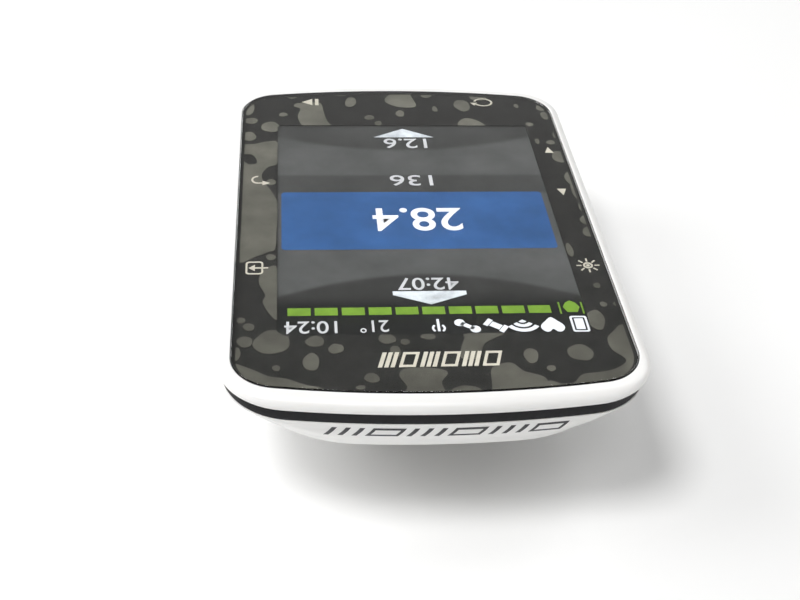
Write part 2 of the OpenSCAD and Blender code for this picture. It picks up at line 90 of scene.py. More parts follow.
def noise(nt, vec, scale, detail=3.0, rough=0.55, distort=0.0):
    n = nt.nodes.new("ShaderNodeTexNoise")
    n.inputs["Scale"].default_value = scale
    n.inputs["Detail"].default_value = detail
    n.inputs["Roughness"].default_value = rough
    n.inputs["Distortion"].default_value = distort
    nt.links.new(vec, n.inputs["Vector"])
    return n.outputs["Fac"]


def ramp(nt, fac, stops):
    r = nt.nodes.new("ShaderNodeValToRGB")
    cr = r.color_ramp
    while len(cr.elements) < len(stops):
        cr.elements.new(0.5)
    for e, (p, c) in zip(cr.elements, stops):
        e.position = p
        e.color = (*c, 1.0) if len(c) == 3 else c
    nt.links.new(fac, r.inputs["Fac"])
    return r.outputs["Color"]


def remap(nt, fac, lo, hi, a=0.3, b=0.7):
    m = nt.nodes.new("ShaderNodeMapRange")
    m.inputs["From Min"].default_value = a
    m.inputs["From Max"].default_value = b
    m.inputs["To Min"].default_value = lo
    m.inputs["To Max"].default_value = hi
    nt.links.new(fac, m.inputs["Value"])
    return m.outputs["Result"]


def bump(nt, height, strength, distance, normal=None):
    b = nt.nodes.new("ShaderNodeBump")
    b.inputs["Strength"].default_value = strength
    b.inputs["Distance"].default_value = distance
    nt.links.new(height, b.inputs["Height"])
    if normal is not None:
        nt.links.new(normal, b.inputs["Normal"])
    return b.outputs["Normal"]


def tint(c, k):
    return tuple(min(1.0, max(0.0, v * k)) for v in c)


def plastic(name, base, rough, var=0.04, grain=6.0, grain_mm=0.004, rvar=0.08, coat=0.0, blotch=0.25, specular=0.5, sss=0.0, painted_reflection_ramp=None):
    """Moulded polymer: slow colour drift, fine mould grain, uneven sheen."""
    m, nt, p = new_mat(name)
    v = coords(nt)
    slow = noise(nt, v, blotch, 3.0)
    col = ramp(nt, slow, [(0.3, tint(base, 1 - var)), (0.7, tint(base, 1 + var))])
    if painted_reflection_ramp:
        # painted reflection: colour scaled along y, darker at the near end (y = 30) and lighter at the far end (y =
        # -30), standing in for the bright surroundings reflected in the far part of the lens; strength at y = 30 and at
        # y = -30
        sp = nt.nodes.new("ShaderNodeSeparateXYZ")
        nt.links.new(v, sp.inputs[0])
        mx = nt.nodes.new("ShaderNodeMix"); mx.data_type = "RGBA"; mx.blend_type = "MULTIPLY"
        mx.inputs[0].default_value = 1.0
        nt.links.new(col, mx.inputs[6])
        nt.links.new(remap(nt, sp.outputs[1], painted_reflection_ramp[1], painted_reflection_ramp[0], -30.0, 30.0), mx.inputs[7])
        col = mx.outputs[2]
    nt.links.new(col, p.inputs["Base Color"])
    nt.links.new(remap(nt, noise(nt, v, blotch * 6, 4.0), rough - rvar / 2, rough + rvar / 2), p.inputs["Roughness"])
    nt.links.new(bump(nt, noise(nt, v, grain, 2.0), 0.6, grain_mm * MM), p.inputs["Normal"])
    p.inputs["Specular IOR Level"].default_value = specular
    if coat:
        p.inputs["Coat Weight"].default_value = coat
        p.inputs["Coat Roughness"].default_value = 0.12
    if sss:
        p.inputs["Subsurface Weight"].default_value = sss
        p.inputs["Subsurface Radius"].default_value = (1.0, 0.9, 0.8)
        p.inputs["Subsurface Scale"].default_value = 0.0006
    return m


def metal(name, base, rough, grain=(2.0, 2.0, 2.0), grain_mm=0.003):
    m, nt, p = new_mat(name)
    v = coords(nt)
    mp = nt.nodes.new("ShaderNodeMapping")
    mp.inputs["Scale"].default_value = grain
    nt.links.new(v, mp.inputs["Vector"])
    f = noise(nt, mp.outputs["Vector"], 1.0, 5.0)
    p.inputs["Metallic"].default_value = 1.0
    nt.links.new(ramp(nt, f, [(0.25, tint(base, 0.86)), (0.75, tint(base, 1.06))]), p.inputs["Base Color"])
    nt.links.new(remap(nt, f, rough * 0.75, rough * 1.3), p.inputs["Roughness"])
    nt.links.new(bump(nt, f, 0.5, grain_mm * MM), p.inputs["Normal"])
    return m


def board(name):
    """Solder mask over copper tracks."""
    m, nt, p = new_mat(name)
    v = coords(nt)
    br = nt.nodes.new("ShaderNodeTexBrick")
    br.inputs["Scale"].default_value = 0.9
    br.inputs["Mortar Size"].default_value = 0.035
    br.inputs["Mortar Smooth"].default_value = 0.2
    br.inputs["Brick Width"].default_value = 1.3
    br.inputs["Row Height"].default_value = 0.5
    br.inputs["Color1"].default_value = (0.006, 0.075, 0.03, 1)
    br.inputs["Color2"].default_value = (0.008, 0.09, 0.038, 1)
    br.inputs["Mortar"].default_value = (0.02, 0.16, 0.07, 1)
    nt.links.new(v, br.inputs["Vector"])
    mx = nt.nodes.new("ShaderNodeMix"); mx.data_type = "RGBA"; mx.blend_type = "MULTIPLY"
    mx.inputs[0].default_value = 1.0
    nt.links.new(br.outputs["Color"], mx.inputs[6])
    nt.links.new(ramp(nt, noise(nt, v, 0.5, 3), [(0.3, (0.8, 0.85, 0.8)), (0.7, (1, 1, 1))]), mx.inputs[7])
    nt.links.new(mx.outputs[2], p.inputs["Base Color"])
    nt.links.new(remap(nt, noise(nt, v, 1.5), 0.28, 0.42), p.inputs["Roughness"])
    nt.links.new(bump(nt, br.outputs["Fac"], 0.5, 0.02 * MM), p.inputs["Normal"])
    return m


def glass(name, ior=1.5, rough=0.0, base=(1, 1, 1)):
    m, nt, p = new_mat(name)
    p.inputs["Base Color"].default_value = (*base, 1)
    p.inputs["Transmission Weight"].default_value = 1.0
    p.inputs["IOR"].default_value = ior
    p.inputs["Roughness"].default_value = rough
    v = coords(nt)
    nt.links.new(bump(nt, noise(nt, v, 0.12, 1.0), 0.25, 0.01 * MM), p.inputs["Normal"])
    return m


WHITE = plastic("white_shell", (0.86, 0.855, 0.84), 0.34, var=0.012, grain=9.0, grain_mm=0.003, rvar=0.06, blotch=0.12, coat=0.25, sss=0.15)
BAND = plastic("band_rubber", (0.009, 0.009, 0.011), 0.55, var=0.18, grain=8.0, grain_mm=0.008, rvar=0.14, blotch=0.4, specular=0.22)
KEYM = plastic("key_rubber", (0.022, 0.022, 0.024), 0.52, var=0.15, grain=10.0, grain_mm=0.01, rvar=0.12, blotch=0.5)
COVER = plastic("cover_rubber", (0.025, 0.025, 0.027), 0.6, var=0.15, grain=7.0, grain_mm=0.014, rvar=0.12, blotch=0.5)
PUCK = plastic("mount_nylon", (0.028, 0.028, 0.03), 0.42, var=0.15, grain=5.0, grain_mm=0.014, rvar=0.16, blotch=0.35)
PRINT_DARK = plastic("lens_print", (0.0128, 0.0128, 0.0118), 0.45, var=0.2, grain=3.0, grain_mm=0.002, blotch=0.35, specular=0.05)
# the lighter marks are real, but their colour also carries a painted reflection: darker towards the near end, lighter
# towards the far end where the lens reflects the bright surroundings
PRINT_PATCH = plastic("lens_print_patch", (0.082, 0.081, 0.067), 0.6, var=0.25, grain=2.0, grain_mm=0.004, blotch=0.22, specular=0.05, painted_reflection_ramp=(0.62, 0.98))
INK = plastic("icon_ink", (0.36, 0.345, 0.29), 0.5, var=0.05, grain=4.0, grain_mm=0.002, blotch=1.0, specular=0.05)
EDGE = plastic("lens_edge_seal", (0.006, 0.006, 0.007), 0.4, var=0.2, grain=4.0, grain_mm=0.003, blotch=1.0)
LENS = glass("lens_glass")
CHIP = plastic("chip_epoxy", (0.02, 0.02, 0.021), 0.5, var=0.2, grain=5.0, grain_mm=0.006, blotch=0.6)
CHASSIS = plastic("chassis_plastic", (0.03, 0.03, 0.032), 0.5, var=0.12, grain=5.0, grain_mm=0.01, blotch=0.3)
IVORY = plastic("connector_ivory", (0.78, 0.74, 0.62), 0.42, var=0.05, grain=4.0, grain_mm=0.004, blotch=0.8)
CERAMIC = plastic("ceramic", (0.62, 0.56, 0.42), 0.55, var=0.1, grain=6.0, grain_mm=0.008, blotch=0.8)
FOAM = plastic("foam", (0.05, 0.05, 0.053), 0.9, var=0.35, grain=3.5, grain_mm=0.08, blotch=1.4)
DIFFUSER = plastic("diffuser", (0.8, 0.8, 0.78), 0.4, var=0.03, grain=4.0, grain_mm=0.003, blotch=0.3)
FLEX = plastic("polyimide", (0.5, 0.22, 0.03), 0.3, var=0.15, grain=3.0, grain_mm=0.004, blotch=0.8)
MEMBRANE = plastic("membrane", (0.8, 0.8, 0.78), 0.85, var=0.05, grain=14.0, grain_mm=0.012, blotch=1.2)
LEADM = plastic("lead_insulation", (0.45, 0.02, 0.015), 0.4, var=0.08, grain=4.0, grain_mm=0.004, blotch=1.0)
LCDM = plastic("display_stack", (0.03, 0.034, 0.036), 0.25, var=0.1, grain=1.0, grain_mm=0.001, blotch=0.1)
STEEL = metal("steel_plate", (0.62, 0.62, 0.63), 0.3, grain=(6.0, 0.6, 6.0))
SCREW = metal("screw_steel", (0.42, 0.42, 0.43), 0.3, grain=(5, 5, 1))
DARKSCREW = metal("screw_black", (0.1, 0.1, 0.105), 0.36, grain=(5, 5, 1))
FOIL = metal("battery_foil", (0.66, 0.67, 0.69), 0.38, grain=(0.6, 0.6, 0.6), grain_mm=0.03)
PCB = board("circuit_board")

CAD_LOOK = {
    "mount_screws": SCREW, "case_screws": DARKSCREW, "usb_cover_tether": COVER, "usb_shell": STEEL, "usb_tongue": CHIP,
    "usb_gasket": FOAM, "usb_board": PCB, "board_connector": IVORY, "display_glass": LCDM, "backlight": DIFFUSER,
    "display_frame": STEEL, "display_flex": FLEX, "flex_connector": CHIP, "chassis": CHASSIS, "main_board": PCB,
    "gps_antenna": CERAMIC, "shield_cans": STEEL, "board_chips": CHIP, "radio_antenna": CERAMIC, "pressure_sensor": STEEL,
    "vent_membrane": MEMBRANE, "buzzer": CHIP, "battery": FOIL, "battery_leads": LEADM, "battery_connector": IVORY,
    "battery_pad": FOAM, "board_foam": FOAM, "key_switches": STEEL, "display_polarizer": LCDM,
    "rear_housing": WHITE, "front_bezel": WHITE, "seal_band": BAND, "mount_puck": PUCK, "usb_cover": COVER,
    "front_lens": LENS, "lens_mask": PRINT_DARK,
}


def set_mat(obj, m):
    obj.data.materials.clear()
    obj.data.materials.append(m)


def shade(obj, angle=32.0):
    me = obj.data
    me.shade_smooth()
    me.set_sharp_from_angle(angle=math.radians(angle))


for n, o in NODE.items():
    m = CAD_LOOK.get(n) or (KEYM if n.endswith("_key") else CHIP)
    for s in range(max(1, len(o.data.materials))):
        if s < len(o.data.materials):
            o.data.materials[s] = m
        else:
            o.data.materials.append(m)
    shade(o, 30.0)


# ------------------------------------------------------------------ sizes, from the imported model
def mm(node):
    lo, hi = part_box(node)
    return lo / MM, hi / MM


bz_lo, bz_hi = mm("front_bezel")
ln_lo, ln_hi = mm("front_lens")
rh_lo, rh_hi = mm("rear_housing")
sb_lo, sb_hi = mm("seal_band")
pk_lo, pk_hi = mm("mount_puck")
mk_lo, mk_hi = mm("lens_mask")
HW = bz_hi.x
TOP, BOT = bz_hi.y + 0.1, -bz_lo.y + 0.1
LHW, LTOP, LBOT = ln_hi.x, ln_hi.y, -ln_lo.y
Z_LENS0, Z_LENS1 = ln_lo.z, ln_hi.z
Z_LEDGE = mk_lo.z
Z_RIM = bz_hi.z
Z_SEAM = sb_hi.z
Z_SHELL = rh_hi.z
Z_BELLY = rh_lo.z
END_R = 127.0
CORNER = 8.2
LENS_R = 5.3
WALL = 1.8
ARC_Y = END_R - BOT
KEY_Z = (mm("power_key")[0].z + mm("power_key")[1].z) / 2


# ------------------------------------------------------------------ mesh helpers
def outline(w, yt, yb, r, e, rb=None, nc=14, ne=30):
    """Straight sides, long end arcs, round corners; rb is the corner radius at the bottom end if it differs."""
    c, s, d = math.cos, math.sin, math.radians
    q = r if rb is None else rb
    a = math.degrees(math.acos((w - r) / (e - r)))
    b = math.degrees(math.acos((w - q) / (e - q)))
    ty, by, cx, cy = yt - e, yb + e, w - r, (e - r) * s(d(a))
    dx, dy = w - q, (e - q) * s(d(b))
    pts = [(cx + r * c(d(a * i / nc)), ty + cy + r * s(d(a * i / nc))) for i in range(nc + 1)]
    pts += [(e * c(d(a + (180 - 2 * a) * i / ne)), ty + e * s(d(a + (180 - 2 * a) * i / ne))) for i in range(1, ne)]
    pts += [(-cx + r * c(d(180 - a + a * i / nc)), ty + cy + r * s(d(180 - a + a * i / nc))) for i in range(nc + 1)]
    pts += [(-dx + q * c(d(180 + b * i / nc)), by - dy + q * s(d(180 + b * i / nc))) for i in range(nc + 1)]
    pts += [(e * c(d(180 + b + (180 - 2 * b) * i / ne)), by + e * s(d(180 + b + (180 - 2 * b) * i / ne))) for i in range(1, ne)]
    pts += [(dx + q * c(d(360 - b + b * i / nc)), by - dy + q * s(d(360 - b + b * i / nc))) for i in range(nc + 1)]
    return pts


def body_line(s, t, b, r, rb=None):
    return outline(HW - s, TOP - t, -BOT + b, r, END_R, rb)


def lens_line(g, **k):
    return outline(LHW + g, LTOP + g, -LBOT - g, LENS_R + g, END_R - 1.7, **k)


def at_z(pts, z):
    return [(x, y, z) for x, y in pts]


def rrect(w, l, r, n=8, cx=0.0, cy=0.0):
    out = []
    for q in range(4):
        for i in range(n + 1):
            a = math.radians(90 * q + 90 * i / n)
            sx = 1 if q in (0, 3) else -1
            sy = 1 if q < 2 else -1
            out.append((cx + sx * (w / 2 - r) + r * math.cos(a), cy + sy * (l / 2 - r) + r * math.sin(a)))
    return out


def curve_rows(rows, sub):
    """Catmull-Rom through rows of numbers."""
    out = []
    n = len(rows)
    for i in range(n - 1):
        p0, p1, p2, p3 = rows[max(0, i - 1)], rows[i], rows[i + 1], rows[min(n - 1, i + 2)]
        for k in range(sub):
            t = k / sub
            out.append([0.5 * (2 * b + (c - a) * t + (2 * a - 5 * b + 4 * c - d) * t * t + (3 * b - a - 3 * c + d) * t ** 3)
                        for a, b, c, d in zip(p0, p1, p2, p3)])
    out.append(list(rows[-1]))
    return out


def to_obj(name, verts, faces, mat=None, angle=32.0, scale=MM):
    me = bpy.data.meshes.new(name)
    me.from_pydata([tuple(v[i] * scale for i in range(3)) for v in verts], [], faces)
    me.validate()
    me.update()
    o = bpy.data.objects.new(name, me)
    scene.collection.objects.link(o)
    bm = bmesh.new(); bm.from_mesh(me)
    bmesh.ops.recalc_face_normals(bm, faces=bm.faces)
    bm.to_mesh(me); bm.free()
    if mat is not None:
        me.materials.append(mat)
    shade(o, angle)
    return o


def loft(name, rings, mat=None, closed=False, angle=32.0):
    n, m = len(rings[0]), len(rings)
    verts = [p for r in rings for p in r]
    faces = []
    for k in range(m if closed else m - 1):
        a, b = k * n, ((k + 1) % m) * n
        for i in range(n):
            j = (i + 1) % n
            faces.append((a + i, a + j, b + j, b + i))
    if not closed:
        faces.append(tuple(range(n - 1, -1, -1)))
        faces.append(tuple((m - 1) * n + i for i in range(n)))
    return to_obj(name, verts, faces, mat, angle)


def prism(name, loops, z0, z1, mat=None, angle=32.0, frame3=None):
    """Extrudes a 2-D outline with optional holes; frame3 maps (a, b, height) to x, y, z."""
    f3 = frame3 or (lambda a, b, h: (a, b, h))
    flat = [[Vector((x, y, 0)) for x, y in lp] for lp in loops]
    pts = [p for lp in flat for p in lp]
    tris = tessellate_polygon(flat)
    n = len(pts)
    verts = [f3(p.x, p.y, z0) for p in pts] + [f3(p.x, p.y, z1) for p in pts]
    faces = [tuple(t) for t in tris] + [tuple(i + n for i in reversed(t)) for t in tris]
    k = 0
    for lp in flat:
        for i in range(len(lp)):
            j = (i + 1) % len(lp)
            faces.append((k + i, k + j, k + j + n, k + i + n))
        k += len(lp)
    return to_obj(name, verts, faces, mat, angle)


def boxm(name, x0, x1, y0, y1, z0, z1, mat=None):
    return prism(name, [[(x0, y0), (x1, y0), (x1, y1), (x0, y1)]], z0, z1, mat)


def cyl(name, x, y, r, z0, z1, n=48, mat=None):
    return prism(name, [[(x + r * math.cos(2 * math.pi * i / n), y + r * math.sin(2 * math.pi * i / n)) for i in range(n)]], z0, z1, mat)


def drop(objs):
    for o in objs:
        me = o.data
        bpy.data.objects.remove(o)
        bpy.data.meshes.remove(me)


def boolean(obj, others, op, solver="EXACT"):
    """Applies one boolean with several operands, then removes them."""
    col = bpy.data.collections.new("operands")
    for o in others:
        for c in list(o.users_collection):
            c.objects.unlink(o)
        col.objects.link(o)
    scene.collection.children.link(col)
    md = obj.modifiers.new("b", "BOOLEAN")
    md.operation = op
    md.solver = solver
    md.operand_type = "COLLECTION"
    md.collection = col
    apply(obj)
    drop(others)
    bpy.data.collections.remove(col)
    return obj


def apply(obj):
    dg = bpy.context.evaluated_depsgraph_get()
    me = bpy.data.meshes.new_from_object(obj.evaluated_get(dg))
    old = obj.data
    obj.modifiers.clear()
    obj.data = me
    me.name = obj.name
    bpy.data.meshes.remove(old)


def tidy(obj, angle=32.0, merge=0.004):
    bm = bmesh.new(); bm.from_mesh(obj.data)
    bmesh.ops.remove_doubles(bm, verts=bm.verts, dist=merge * MM)
    bmesh.ops.dissolve_degenerate(bm, edges=bm.edges, dist=merge * MM)
    bm.to_mesh(obj.data); bm.free()
    shade(obj, angle)


def soften(obj, width, angle=35.0, segments=2, shade_angle=40.0):
    md = obj.modifiers.new("bev", "BEVEL")
    md.width = width * MM
    md.segments = segments
    md.limit_method = "ANGLE"
    md.angle_limit = math.radians(angle)
    md.use_clamp_overlap = True
    md.harden_normals = False
    apply(obj)
    shade(obj, shade_angle)


def join(name, objs):
    bm = bmesh.new()
    mats = []
    for o in objs:
        for m in o.data.materials:
            if m not in mats:
                mats.append(m)
    for o in objs:
        start = len(bm.faces)
        bm.from_mesh(o.data)
        bm.faces.ensure_lookup_table()
        local = [mats.index(m) for m in o.data.materials] or [0]
        for f in bm.faces[start:]:
            f.material_index = local[min(f.material_index, len(local) - 1)]
    me = bpy.data.meshes.new(name)
    bm.to_mesh(me); bm.free()
    for m in mats:
        me.materials.append(m)
    o = bpy.data.objects.new(name, me)
    scene.collection.objects.link(o)
    drop(objs)
    return o


# ------------------------------------------------------------------ key positions
DEG = math.radians
KEYS = {
    "power_key": ("L", 11.3), "up_key": ("L", -6.0), "down_key": ("L", -16.7), "enter_key": ("R", 11.3), "back_key": ("R", -8.8),
    "lap_key": ("E", -5.75), "start_key": ("E", 5.75),
}


def key_frame(side, v):
    """Maps (outward, along, up) from the wall's inner face to x, y, z in millimetres."""
    if side == "R":
        return lambda o, a, u: (HW - WALL + o, v + a, KEY_Z + u)
    if side == "L":
        return lambda o, a, u: (-HW + WALL - o, v - a, KEY_Z + u)
    t = DEG(v - 90)
    c, s = math.cos(t), math.sin(t)
    return lambda o, a, u: ((END_R - WALL + o) * c - a * s, ARC_Y + (END_R - WALL + o) * s + a * c, KEY_Z + u)


KEY_L, KEY_H = 9.0, 2.4
TAB_W, TAB_Z = KEY_L + 1.5, 14.3


def ushape(w, z0, z1, r, n=10):
    p = [(w / 2, z1), (-w / 2, z1)]
    p += [(-w / 2 + r + r * math.cos(DEG(180 + 90 * i / n)), z0 + r + r * math.sin(DEG(180 + 90 * i / n))) for i in range(n + 1)]
    p += [(w / 2 - r + r * math.cos(DEG(270 + 90 * i / n)), z0 + r + r * math.sin(DEG(270 + 90 * i / n))) for i in range(n + 1)]
    return p


def pill(l, h, n=12):
    return rrect(l, h, h / 2 - 0.001, n)


# ------------------------------------------------------------------ front bezel
def rim_line(u, k, c):
    """u runs from the casing face to the lens, k tucks the ends in below, c blends the corner radius."""
    g = 0.07
    return outline(HW - u * (HW - LHW - g), TOP - u * (TOP - LTOP - g) - 0.143 * k, -BOT + u * (BOT - LBOT - g) + 0.143 * k,
                   LENS_R + g + c * (CORNER + 0.3 - LENS_R - g), END_R - 1.7 * u)


rim = curve_rows([[0.05, 0, 1, 1], [0, 0.12, 0.7, 0.85], [0.015, 0.42, 0.53, 0.6], [0.08, 0.72, 0.35, 0.42], [0.2, 1.0, 0.15, 0.28],
                  [0.37, 1.25, 0.05, 0.15], [0.58, 1.43, 0, 0.07], [0.8, 1.53, 0, 0.03], [0.95, 1.55, 0, 0], [1, 1.5, 0, 0]], 4)
rings = [at_z(rim_line(max(0.0, u), max(0.0, k), max(0.0, c)), min(Z_RIM, Z_SEAM + max(0.0, h))) for u, h, k, c in rim]
opening = outline(19.6, 25.6, -25.6, 1.2, 4000.0)
rings += [at_z(lens_line(0.07), Z_LEDGE), at_z(opening, Z_LEDGE), at_z(opening, bz_hi.z - 2.05),
          at_z(body_line(3.0, 3.1, 3.0, 4.2), bz_hi.z - 2.05), at_z(body_line(3.0, 3.1, 3.0, 4.2), bz_lo.z),
          at_z(body_line(1.9, 2.0, 1.9, 6.4), bz_lo.z), at_z(body_line(1.9, 2.0, 1.9, 6.4), Z_SEAM)]
bezel = loft("front_bezel_rim", rings, WHITE, closed=True, angle=38)
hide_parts("front_bezel"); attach(bezel, "casing")

# ------------------------------------------------------------------ seal band
outer = [[0.44, 0.0], [0.37, 0.04], [0.34, 0.12], [0.34, 0.5], [0.34, 1.05], [0.34, 1.43], [0.37, 1.51], [0.44, 1.55]]
rings = [at_z(body_line(s, s + 0.06, s - 0.04, CORNER), Z_SHELL + h * (Z_SEAM - Z_SHELL) / 1.55) for s, h in outer]
rings += [at_z(body_line(WALL, WALL + 0.1, WALL, 6.5), Z_SEAM), at_z(body_line(WALL, WALL + 0.1, WALL, 6.5), Z_SHELL)]
band = loft("seal_band_ring", rings, BAND, closed=True)
tabs = []
for n, (side, v) in KEYS.items():
    f = key_frame(side, v)
    tabs.append(prism("tab_" + n, [ushape(TAB_W, TAB_Z - KEY_Z, Z_SHELL + 0.2 - KEY_Z, 1.5)], 0.02, WALL - 0.4, BAND, frame3=lambda a, b, h, f=f: f(h, a, b)))
boolean(band, tabs, "UNION")
holes = []
for n, (side, v) in KEYS.items():
    f = key_frame(side, v)
    holes.append(prism("hole_" + n, [pill(KEY_L + 0.2, KEY_H + 0.2)], -1, 3, frame3=lambda a, b, h, f=f: f(h, a, b)))
boolean(band, holes, "DIFFERENCE")
tidy(band)
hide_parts("seal_band"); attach(band, "casing")

# ------------------------------------------------------------------ keys
for n, (side, v) in KEYS.items():
    f = key_frame(side, v)
    top = WALL + (0.3 if side != "E" else 1.14)
    prof = [(-1.15, 1.5, 1.5), (-0.65, 1.5, 1.5), (-0.65, KEY_L + 1.4, KEY_H + 0.6), (-0.1, KEY_L + 1.4, KEY_H + 0.6), (-0.1, KEY_L, KEY_H), (top - 0.5, KEY_L, KEY_H)]
    for k in range(1, 9):
        a = DEG(90 * k / 8)
        g = 0.45 * (1 - math.cos(a))
        prof.append((top - 0.5 + 0.5 * math.sin(a), KEY_L - 2 * g, KEY_H - 2 * g))
    prof += [(top - 0.02, KEY_L - 1.3, KEY_H - 1.3), (top - 0.07, KEY_L - 1.7, KEY_H - 1.7)]
    rings = [[f(o, a, u) for a, u in pill(l, h)] for o, l, h in prof]
    k = loft(n + "_cap", rings, KEYM, angle=35)
    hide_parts(n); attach(k, n[:-4] + "_button")

# ------------------------------------------------------------------ rear housing
SKIN = [[Z_SHELL - 0.12, 0.24, 0.33, 0.22, CORNER + 0.2, CORNER], [16.5, 0.27, 0.45, 0.26, 11.0, 8.4], [15.0, 0.4, 1.05, 0.44, 13.6, 8.9],
        [14.0, 0.6, 1.6, 0.78, 15.0, 9.4], [13.4, 0.82, 1.95, 1.3, 15.0, 9.9], [12.8, 1.1, 2.4, 2.27, 15.0, 10.6], [12.0, 1.5, 4.0, 3.92, 13.6, 11.2],
        [11.0, 2.1, 6.1, 6.0, 12.6, 12.0], [9.8, 2.9, 8.6, 8.5, 12.4, 12.4], [8.4, 4.1, 11.5, 11.4, 12.4, 12.4], [7.0, 5.8, 14.7, 14.6, 11.6, 11.6],
        [6.0, 7.5, 17.5, 17.4, 10.2, 10.2], [5.55, 8.7, 19.3, 19.2, 9.2, 9.2], [Z_BELLY, 9.7, 20.7, 20.6, 8.4, 8.4]]
CAVITY = [[Z_SHELL, 1.8, 1.9, 1.8, 6.5, 6.5], [17.4, 1.8, 1.92, 1.8, 6.5, 6.5], [16.2, 1.84, 2.0, 1.82, 8.6, 6.6], [15.0, 1.97, 2.45, 1.9, 11.4, 7.0],
          [15.0, 2.02, 2.5, 9.5, 11.4, 6.9], [14.25, 2.2, 3.0, 9.5, 12.4, 7.2], [13.2, 2.7, 4.0, 9.5, 12.4, 8], [12.0, 3.3, 6.3, 9.6, 11.8, 8.8],
          [10.6, 4.2, 9.3, 11.0, 11, 10], [9.0, 5.4, 12.7, 13.6, 11, 11], [7.8, 6.8, 15.5, 16.4, 10.4, 10.4], [7.2, 8.2, 17.7, 18.4, 9.2, 9.2]]
skin_rows = [[Z_SHELL, 0.3, 0.37, 0.27, CORNER, CORNER], [Z_SHELL - 0.04, 0.255, 0.335, 0.225, CORNER + 0.07, CORNER]] + curve_rows(SKIN, 5)
skin_rows = [[max(Z_BELLY, r[0]), max(0.0, r[1]), max(0.0, r[2]), max(0.0, r[3]), r[4], r[5]] for r in skin_rows]


def skin_rings():
    return [at_z(body_line(*r[1:]), r[0]) for r in skin_rows]


SCREWS = [(15.8, 24), (-15.8, 24), (16.6, -21.8), (-16.6, -21.8)]
MOUNT_Y = (pk_lo.y + pk_hi.y) / 2
PUCK_SCREWS = [(9 * math.cos(DEG(a)), MOUNT_Y + 9 * math.sin(DEG(a))) for a in (45, 135, 225, 315)]
BAY_W, BAY_Y, BAY_Z = 12.6, -27.0, 14.35
USB_Z = 12.5


def slope(y):
    return 9.8 - 0.4828 * (y + 27)


def across_x(name, x0, x1, pts, mat=None):
    return prism(name, [pts], x0, x1, mat, frame3=lambda a, b, h: (h, a, b))


inner = [at_z(body_line(*c[1:]), c[0]) for c in reversed(CAVITY)]
shell = loft("rear_shell", inner + skin_rings(), WHITE)
posts = [cyl("b", x, y, 2.6, 6.8, 12.8) for x, y in SCREWS]
for q in posts:
    # the posts stop at the middle of the wall
    boolean(q, [loft("trim", [at_z(body_line(r[1] + 0.5, r[2] + 0.5, r[3] + 0.5, r[4], r[5]), r[0] + 0.4) for r in skin_rows], WHITE)], "INTERSECT")
boolean(shell, posts + [cyl("b", x, y, 1.8, 6.8, 9.2) for x, y in PUCK_SCREWS], "UNION")
cuts = []
for n, (side, v) in KEYS.items():
    f = key_frame(side, v)
    cuts.append(prism("n", [ushape(TAB_W + 0.1, TAB_Z - KEY_Z - 0.05, Z_SHELL + 2 - KEY_Z, 1.55)], -1.15, 4, frame3=lambda a, b, h, f=f: f(h, a, b)))
for x, y in SCREWS:
    cuts += [cyl("c", x, y, 1.9, -1, 11), cyl("c", x, y, 0.85, 10, 14, 32)]
cuts.append(cyl("seat", 0, MOUNT_Y, 13.3, -1, 6.4, 128))
cuts += [cyl("p", x, y, 0.65, 0, 8.9, 32) for x, y in PUCK_SCREWS]
cuts.append(boxm("bay", -BAY_W / 2, BAY_W / 2, -40, BAY_Y, 4, BAY_Z))
cuts.append(boxm("mouth", -4, 4, BAY_Y - 1, BAY_Y + 5, USB_Z - 1.98, USB_Z + 1.93))
cuts.append(boxm("gask", -5, 5, -24.9, -21.9, USB_Z - 2.6, 15.4))
cuts.append(across_x("teth", -3.1, 3.1, [(-27.1, 6), (-27.1, slope(-27.1) + 0.5), (-24.05, slope(-24.05) + 0.5), (-24.05, 6)]))
cuts.append(cyl("vent", 9, -13.6, 0.8, 0, 9, 32))
cuts += [cyl("eye", x, -28.8, 0.95, 8, 13.3, 32) for x in (9.6, 13.2)]
eye = [(0.75 * math.cos(2 * math.pi * i / 24) - 28.8, 0.75 * math.sin(2 * math.pi * i / 24) + 12.55) for i in range(24)]
cuts.append(across_x("bar", 9.6, 13.2, eye))
boolean(shell, cuts, "DIFFERENCE")
tidy(shell, 34)
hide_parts("rear_housing"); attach(shell, "casing")

# ------------------------------------------------------------------ connector cover
cover = loft("usb_cover_flap", skin_rings(), COVER)
boolean(cover, [boxm("cb", -BAY_W / 2 + 0.15, BAY_W / 2 - 0.15, -40, BAY_Y - 0.12, 4, BAY_Z - 0.12)], "INTERSECT")
boolean(cover, [boxm("pl", -2.6, 2.6, BAY_Y - 1, BAY_Y + 0.8, USB_Z - 0.8, USB_Z + 0.8)], "UNION")
nick = [(0.9 * math.cos(2 * math.pi * i / 32) - 35.35, 0.9 * math.sin(2 * math.pi * i / 32) + BAY_Z - 0.1) for i in range(32)]
boolean(cover, [across_x("nk", -2.5, 2.5, nick)], "DIFFERENCE")
tidy(cover, 34)
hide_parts("usb_cover"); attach(cover, "usb_flap")

# ------------------------------------------------------------------ lens
rows = [[0.0, Z_LENS0], [0.0, Z_LENS1 - 0.14]]
for k in range(1, 7):
    a = DEG(90 * k / 6)
    rows.append([-0.12 * (1 - math.cos(a)), Z_LENS1 - 0.14 + 0.14 * math.sin(a)])
lens = loft("lens_pane", [at_z(lens_line(g), z) for g, z in rows], LENS, angle=40)
lens.visible_shadow = False
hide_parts("front_lens"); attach(lens, "casing")

# ------------------------------------------------------------------ print under the lens
WIN_W, WIN_L, WIN_X, WIN_Y = 36.0, 47.5, -0.36, 0.46


def win(g=0.0, n=4):
    return rrect(WIN_W + 2 * g, WIN_L + 2 * g, 0.3, n, WIN_X, WIN_Y)


